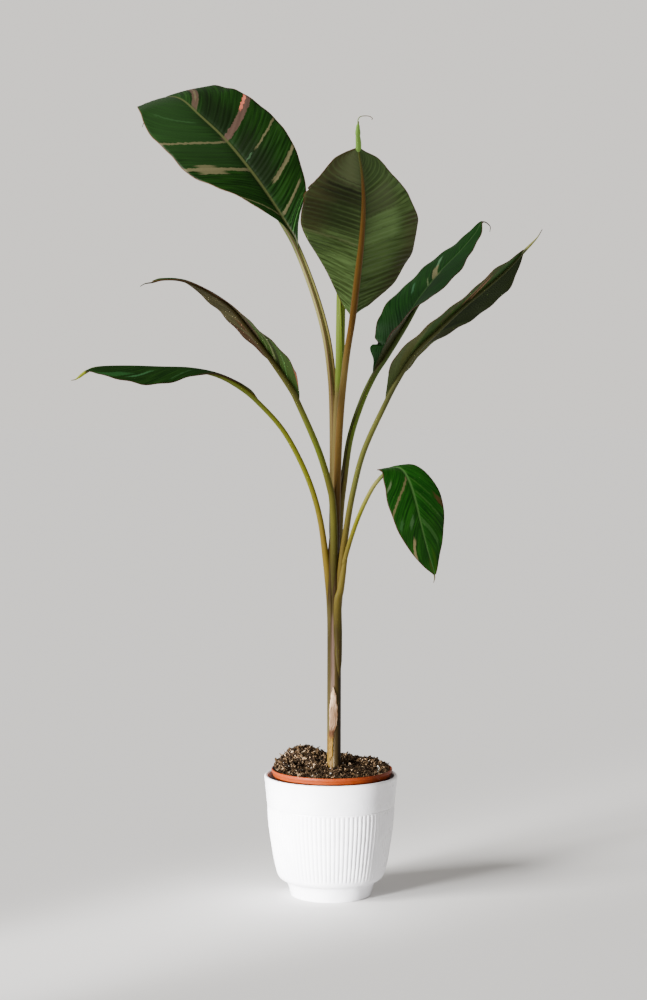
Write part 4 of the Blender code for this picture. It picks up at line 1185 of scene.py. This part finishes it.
# %% [markdown]
# ## The dry sheath
# The lowest leaf has long since gone and its sheath has dried to paper on the stem. It is a thin
# curved sheet with fibres along it and a ragged end, so its outline is cut by noise, and its
# colour runs from bleached white above to torn brown and fresh olive below.

# %% Dry sheath
SCRAP_BOTTOM = 0.2140
SCRAP_TOP = 0.3320
# how high up the scrap, and how far round the stem its two edges are there, in degrees
SCRAP_LEFT = [(0, 230), (0.35, 234), (0.45, 233), (0.75, 235), (0.9, 247), (1, 260)]
SCRAP_RIGHT = [(0, 258), (0.35, 266), (0.45, 288), (0.6, 296), (0.8, 291), (0.92, 280), (1, 266)]
SCRAP_THICKNESS = 0.0005
SCRAP_ROWS, SCRAP_COLUMNS = 90, 26


def paper_finish():
    f = Finish("dry_sheath_paper")
    height, around, _ = f.mapped("scrap_map")
    fibre = f.noise(height, around, (12, 26), detail=5)
    stain = f.noise(height, around, (34, 3), z=6.0)
    color = f.mix(f.fade(fibre, 0.42, 0.56), "#5e4228", "#e2c2a0")
    color = f.mix(f.fade(height, 0.316, 0.290, 0.0, 0.82), color, "#523a26")
    color = f.mix(f.fade(stain, 0.50, 0.66, 0.0, 0.8), color, "#4c321c")
    level = f.math("ADD", height, f.centred(fibre, 0.03))
    color = f.mix(f.fade(level, 0.266, 0.260), color, "#38200c")
    color = f.mix(f.fade(level, 0.252, 0.247), color, "#5c4412")
    relief = f.bump(fibre, 0.0006)
    return f.done(Base_Color=color, Roughness=0.8, Specular_IOR_Level=0.15, Normal=relief)


def frays(steps, step, seed_z):
    """Two rows of seeded noise, one for each of two opposite edges."""
    return [np.array([noise.noise(Vector((k * step, e, seed_z))) for k in range(steps + 1)])
            for e in (0.0, 8.0)]


def scrap_piece():
    u, t = np.meshgrid(np.linspace(0, 1, SCRAP_COLUMNS + 1), np.linspace(0, 1, SCRAP_ROWS + 1))
    bottom_tear, top_tear = frays(SCRAP_COLUMNS, 0.9, 0.5)
    low = SCRAP_BOTTOM + 0.008 * u + 0.002 * np.sin(11 * u) + 0.004 * bottom_tear
    high = SCRAP_TOP - 0.012 * np.abs(u - 0.5) + 0.004 * top_tear
    z = low + (high - low) * t
    left_fray, right_fray = frays(SCRAP_ROWS, 0.21, 2.5)
    left = np.interp(t, *np.transpose(SCRAP_LEFT)) + 6 * left_fray[:, None]
    right = np.interp(t, *np.transpose(SCRAP_RIGHT)) + 6 * right_fray[:, None]
    angle = np.radians(left + (right - left) * u)
    lifted = 0.0008 * t**3 + 0.0003 * np.sin(9 * u + 4 * t) ** 2
    away = STEM_RADIUS + GAP + SCRAP_THICKNESS + lifted
    x = STEM_X + STEM_LEAN * (z - STEM_BOTTOM) + away * np.cos(angle)
    points = stacked(x, away * np.sin(angle), z)
    maps = {"scrap_map": stacked(z, u, 0)}
    scrap = new_piece("dry_sheath_fine", points, grid_faces(*z.shape), [paper_finish()], maps)
    return as_sheet(scrap, SCRAP_THICKNESS)


stands_for(scrap_piece(), "dry_sheath", "dry_sheath")

# %% [markdown]
# ## The cover pot
# The outer pot is glazed ware, thrown with a plain band under the rim and fine upright ribs
# below it. A turned profile gives the form, and a wave round the circumference, pushed into the
# ribbed rows only, gives the ribs. The glaze is almost white, satin, and never quite even.

# %% Cover pot profile
POT_HEIGHT = 0.1905
POT_RIM_RADIUS = 0.1048
POT_WALL = 0.0060
POT_FLOOR_TOP = 0.0160
LIP_ROUND = (0.0029, 0.0030)
FOOT_ROUND = (0.0023, 0.0016)
# height in metres and radius in millimetres
POT_OUTSIDE = [(0.0000, 62.5), (0.0040, 63.9), (0.0218, 69.8), (0.0243, 72.6), (0.0265, 77.6),
               (0.0300, 81.8), (0.0345, 84.3), (0.0600, 90.5), (0.1410, 100.0), (0.1421, 99.9),
               (0.1435, 99.4), (0.1447, 100.3), (0.1650, 102.3), (0.1878, 104.6)]
# rows of the outside from the top down: first and last height, and how many
POT_ROWS = [(0.1865, 0.1460, 8), (0.1450, 0.1415, 9), (0.1410, 0.1375, 5), (0.125, 0.045, 7),
            (0.040, 0.0350, 5), (0.0340, 0.0240, 10), (0.0225, 0.0030, 5)]
# radius and height, from the middle of the foot up to the lip
POT_INSIDE = [(0.0, 0.0), (0.0, POT_FLOOR_TOP), (0.062, POT_FLOOR_TOP), (0.0655, 0.0175),
              (0.0783, 0.0345), (0.0864, 0.069)]


def arc(centre, half_axes, start, end, count):
    angle = np.radians(np.linspace(start, end, count))
    return np.array(centre) + np.array(half_axes) * stacked(np.cos(angle), np.sin(angle))


def pot_profile():
    """Radius and height down the outside, from the lip to the foot, then up the inside."""
    levels = np.concatenate([np.linspace(*row) for row in POT_ROWS])
    outside = stacked(smooth_table(POT_OUTSIDE, levels) * MM, levels)
    lip_centre = (POT_RIM_RADIUS - POT_WALL / 2, POT_HEIGHT - LIP_ROUND[1])
    lip = arc(lip_centre, LIP_ROUND, 175, 5, 11)
    foot = arc((0.0610, FOOT_ROUND[1]), FOOT_ROUND, 0, -90, 5)
    return np.vstack([lip, outside, foot, POT_INSIDE])


def turned_points(profile, columns):
    angle = np.linspace(0, 2 * np.pi, columns, endpoint=False)[None, :]
    r, z = profile[:, :1], profile[:, 1:]
    return stacked(r * np.cos(angle), r * np.sin(angle), z), angle


def turned_faces(rows, columns):
    """Faces of a turned body whose last row joins its first."""
    return grid_faces(rows + 1, columns, around=True)[:, [0, 3, 2, 1]] % (rows * columns)


print("profile of", len(pot_profile()), "points")


# %% Cover pot
RIB_COUNT = 86
RIB_DEPTH = 0.0011
RIB_BOTTOM, RIB_TOP = 0.0345, 0.1416
RIB_COLUMNS = 10


def glaze_finish():
    f = Finish("pot_glaze")
    pool = f.solid_noise(26.0)
    speck = f.solid_noise(900.0, 2.0)
    color = f.mix(f.fade(pool, 0.35, 0.7), "#e4e4e8", "#dadadf")
    color = f.mix(f.fade(speck, 0.70, 0.78, 0.0, 0.35), color, "#b9b4ac")
    gloss = f.fade(pool, 0.3, 0.75, 0.24, 0.38)
    return f.done(Base_Color=color, Roughness=gloss, Normal=f.bump(pool, 0.0010, 0.5))


def cover_pot_piece():
    profile = pot_profile()
    points, angle = turned_points(profile, RIB_COUNT * RIB_COLUMNS)
    z = profile[:, 1:]
    outside = np.arange(len(profile))[:, None] < len(profile) - len(POT_INSIDE)
    crest = np.abs(np.cos(0.5 * RIB_COUNT * angle)) ** 0.8
    ends = np.clip((z - RIB_BOTTOM) / 0.004, 0, 1) * np.clip((RIB_TOP - z) / 0.0012, 0, 1)
    cut = RIB_DEPTH * (1 - crest) * ends * outside
    radius = np.linalg.norm(points[..., :2], axis=-1)
    points[..., :2] *= (1 - cut / np.maximum(radius, 1e-6))[..., None]
    return new_piece("cover_pot_fine", points, turned_faces(*points.shape[:2]), [glaze_finish()])


stands_for(cover_pot_piece(), "white_glaze", "cover_pot")

# %% [markdown]
# ## The nursery pot
# Inside stands the thin pot that the plant was grown in, moulded in orange-brown plastic. Only
# its collar shows, with a rounded lip and one step below it. Moulded plastic has a faint grain and
# soft scratches, and this one has dust of dried compost on it.

# %% Nursery pot
NURSERY_OFFSET = 0.0015
NURSERY_TOP = 0.2005
NURSERY_RIM_RADIUS = 0.0950
NURSERY_WALL = 0.0016
NURSERY_BASE_RADIUS = 0.0600
NURSERY_WALL_TOP = 0.0895
NURSERY_SHOULDER = NURSERY_TOP - 0.0100
# the collar's section from the inside over the lip to the step: out from the rim's radius and up
# from the top, in metres
COLLAR = [(-0.0030, -0.0060), (-0.0021, -0.0006), (-0.0017, -0.0001), (-0.0010, 0),
          (-0.0004, -0.0002), (0, -0.0010), (0.0001, -0.0018), (-0.0004, -0.0046),
          (-0.0006, -0.0052), (-0.0014, -0.0056), (-0.0018, -0.0064)]


def plastic_finish():
    f = Finish("nursery_plastic")
    grain = f.solid_noise(420.0)
    dust = f.solid_noise(60.0, 6.0, 0.65)
    color = f.mix(f.fade(grain, 0.3, 0.7), "#612005", "#6c2c0b")
    color = f.mix(f.fade(dust, 0.56, 0.72, 0.0, 0.55), color, "#54240f")
    return f.done(
        Base_Color=color,
        Roughness=f.fade(dust, 0.3, 0.7, 0.40, 0.58),
        Specular_IOR_Level=0.12,
        Normal=f.bump(grain, 0.0002, 0.6),
    )


def nursery_pot_piece():
    floor, rim, shoulder = POT_FLOOR_TOP + GAP, NURSERY_RIM_RADIUS, NURSERY_SHOULDER
    profile = np.array([
        (0.0, floor),
        (0.0, floor + NURSERY_WALL),
        (NURSERY_BASE_RADIUS - NURSERY_WALL, floor + NURSERY_WALL),
        (NURSERY_WALL_TOP - NURSERY_WALL, shoulder),
        *((rim + out, NURSERY_TOP + up) for out, up in COLLAR),
        (rim - 0.0022, shoulder + 0.0002),
        (rim - 0.0026, shoulder - 0.0006),
        (NURSERY_WALL_TOP, shoulder - 0.0012),
        (NURSERY_BASE_RADIUS, floor + 0.001),
        (NURSERY_BASE_RADIUS - 0.001, floor),
    ])[::-1]
    points, _ = turned_points(profile, 240)
    points[..., 0] += NURSERY_OFFSET
    faces = turned_faces(*points.shape[:2])
    return new_piece("nursery_pot_fine", points, faces, [plastic_finish()])


stands_for(nursery_pot_piece(), "terracotta_plastic", "nursery_pot")

# %% [markdown]
# ## The compost
# Potting compost is peat crumbs, bark and white perlite, heaped higher at the back here. A bumpy
# disc gives the heap, and thousands of small lumps are laid over it, each a twelve-cornered ball
# pulled out of shape. They are all one mesh, made in one go with arrays and a seeded draw.

# %% Compost heap
SOIL_EDGE_HEIGHT = 0.1970
SOIL_CRUMB = 0.0050
# x, y, height and radius of each mound
SOIL_MOUNDS = [(-0.030, 0.044, 0.023, 0.030), (-0.060, 0.034, 0.019, 0.026),
               (-0.080, 0.004, 0.008, 0.022), (0.024, 0.042, 0.014, 0.026),
               (0.064, 0.028, 0.013, 0.022), (0.004, 0.000, 0.006, 0.030)]
SOIL_HOLE = NURSERY_RIM_RADIUS - NURSERY_WALL
SOIL_RADIUS = SOIL_HOLE - 0.0018


def soil_height(x, y):
    edge = math.hypot(x, y) / SOIL_HOLE
    height = SOIL_EDGE_HEIGHT
    for centre_x, centre_y, top, radius in SOIL_MOUNDS:
        height += top * math.exp(-((x - centre_x) ** 2 + (y - centre_y) ** 2) / radius**2)
    crumbs = noise.noise(Vector((x, y, 0.3)) * 130) + 0.6 * noise.noise(Vector((x, y, 1.7)) * 290)
    return height + SOIL_CRUMB * crumbs * min(1, 1.6 - edge)


def compost_finish():
    f = Finish("compost_crumbs")
    tone, kind, _ = f.mapped("crumb_map")
    rough = f.solid_noise(700.0)
    color = f.ramp(tone, [(0.0, "#0a0603"), (0.25, "#1e140a"), (0.45, "#372816"),
                          (0.65, "#52402c"), (0.85, "#7e6850"), (1.0, "#b8a284")])
    color = f.mix(f.fade(rough, 0.35, 0.75, 0.0, 0.5), color, "#20160e")
    color = f.mix(kind, color, "#d9d3c6")
    relief = f.bump(rough, 0.0008)
    return f.done(Base_Color=color, Roughness=0.9, Specular_IOR_Level=0.10, Normal=relief)


print("heap's top:", round(soil_height(-0.030, 0.044), 3), "m")


# %% Crumbs
CRUMBS = 8600
CORNERS = 12
PERLITE_SHARE, BARK_SHARE = 0.015, 0.10


def ball():
    """A twelve-cornered ball: its corners and its twenty faces, turned outwards."""
    golden = (1 + 5**0.5) / 2
    corner = np.array([(s, t * golden, 0) for s in (-1, 1) for t in (-1, 1)])
    corner = np.vstack([corner, np.roll(corner, 1, axis=1), np.roll(corner, 2, axis=1)]) / 1.9
    apart = np.linalg.norm(corner[:, None] - corner[None], axis=-1)
    side = np.sort(np.unique(apart.round(4)))[1]
    linked = np.abs(apart - side) < 1e-3
    faces = []
    for a, b, c in combinations(range(CORNERS), 3):
        if linked[a, b] and linked[b, c] and linked[a, c]:
            outward = np.dot(np.cross(corner[b] - corner[a], corner[c] - corner[a]), corner[a]) > 0
            faces.append((a, b, c) if outward else (c, b, a))
    return corner, np.array(faces)


def random_turns(draw, count):
    """Rotation matrices, from random unit quaternions."""
    spin = draw.normal(size=(count, 4))
    spin /= np.linalg.norm(spin, axis=1, keepdims=True)
    w, i, j, k = spin.T
    return np.stack([
        1 - 2 * (j * j + k * k), 2 * (i * j - k * w), 2 * (i * k + j * w),
        2 * (i * j + k * w), 1 - 2 * (i * i + k * k), 2 * (j * k - i * w),
        2 * (i * k - j * w), 2 * (j * k + i * w), 1 - 2 * (i * i + j * j),
    ], axis=-1).reshape(-1, 3, 3)


def crumb_cloud(draw):
    """Lumps on the heap: their points, faces and tones."""
    corner, faces = ball()
    away = SOIL_RADIUS * np.sqrt(draw.random(CRUMBS)) * 0.985
    angle = draw.random(CRUMBS) * 2 * np.pi
    x, y = away * np.cos(angle) + NURSERY_OFFSET, away * np.sin(angle)
    clear = np.hypot(x - STEM_X, y) > STEM_RADIUS + 0.0012
    x, y = x[clear], y[clear]
    count = len(x)
    is_perlite = draw.random(count) > 1 - PERLITE_SHARE
    size = np.clip(draw.lognormal(math.log(0.00115), 0.42, count), 0.0006, 0.0032)
    spans = ((0.9, 1.9), (0.6, 1.1), (0.35, 0.8))
    stretch = stacked(*(draw.uniform(*span, count) for span in spans))
    stretch[draw.random(count) < BARK_SHARE] = (3.2, 0.40, 0.30)
    stretch[is_perlite] = 0.85
    z = np.vectorize(soil_height)(x, y) + size * draw.uniform(-0.1, 0.7, count)
    turn = random_turns(draw, count)
    rough = draw.uniform(0.7, 1.25, (count, CORNERS, 1))
    local = corner[None] * rough * (stretch * size[:, None])[:, None]
    points = np.einsum("nij,nkj->nki", turn, local) + stacked(x, y, z)[:, None]
    tone = draw.beta(1.3, 1.7, count)
    maps = np.repeat(stacked(tone, is_perlite, 0), CORNERS, axis=0)
    faces = (faces[None] + CORNERS * np.arange(count)[:, None, None]).reshape(-1, 3)
    return points.reshape(-1, 3), faces, maps


lumps, lump_faces, lump_maps = crumb_cloud(np.random.default_rng(7))
print("crumbs:", len(lumps) // CORNERS)

# %% Compost piece
HEAP_RINGS, HEAP_COLUMNS = 60, 150
HEAP_TONE = 0.25


def compost_piece():
    share = np.linspace(0, 1, HEAP_RINGS)[:, None]
    angle = np.linspace(0, 2 * np.pi, HEAP_COLUMNS, endpoint=False)[None, :]
    hole = STEM_RADIUS * 0.9
    away = hole + (SOIL_RADIUS - hole) * share
    x = away * np.cos(angle) + STEM_X + (NURSERY_OFFSET - STEM_X) * share
    y = away * np.sin(angle)
    points = stacked(x, y, np.vectorize(soil_height)(x, y)).reshape(-1, 3)
    faces = [*grid_faces(HEAP_RINGS, HEAP_COLUMNS, around=True), *(lump_faces + len(points))]
    maps = {"crumb_map": np.vstack([np.tile((HEAP_TONE, 0, 0), (len(points), 1)), lump_maps])}
    points = np.vstack([points, lumps])
    heap = new_piece("compost_fine", points, faces, [compost_finish()], maps)
    heap.data.polygons.foreach_set("use_smooth", [False] * len(heap.data.polygons))
    return heap


stands_for(compost_piece(), "compost", "potting_soil")

# %% [markdown]
# ## The floor
# A plain pale floor catches the pot's soft shadow. It is no part of the object.

# %% Floor
floor_finish = Finish("pale_floor").done(
    Base_Color="#e1e0df", Roughness=0.9, Specular_IOR_Level=0.1
)
floor_points = np.array([(-30, -30, 0), (30, -30, 0), (30, 30, 0), (-30, 30, 0)], float)
floor = new_piece("floor", floor_points, [(0, 1, 2, 3)], [floor_finish])
print("floor ready")
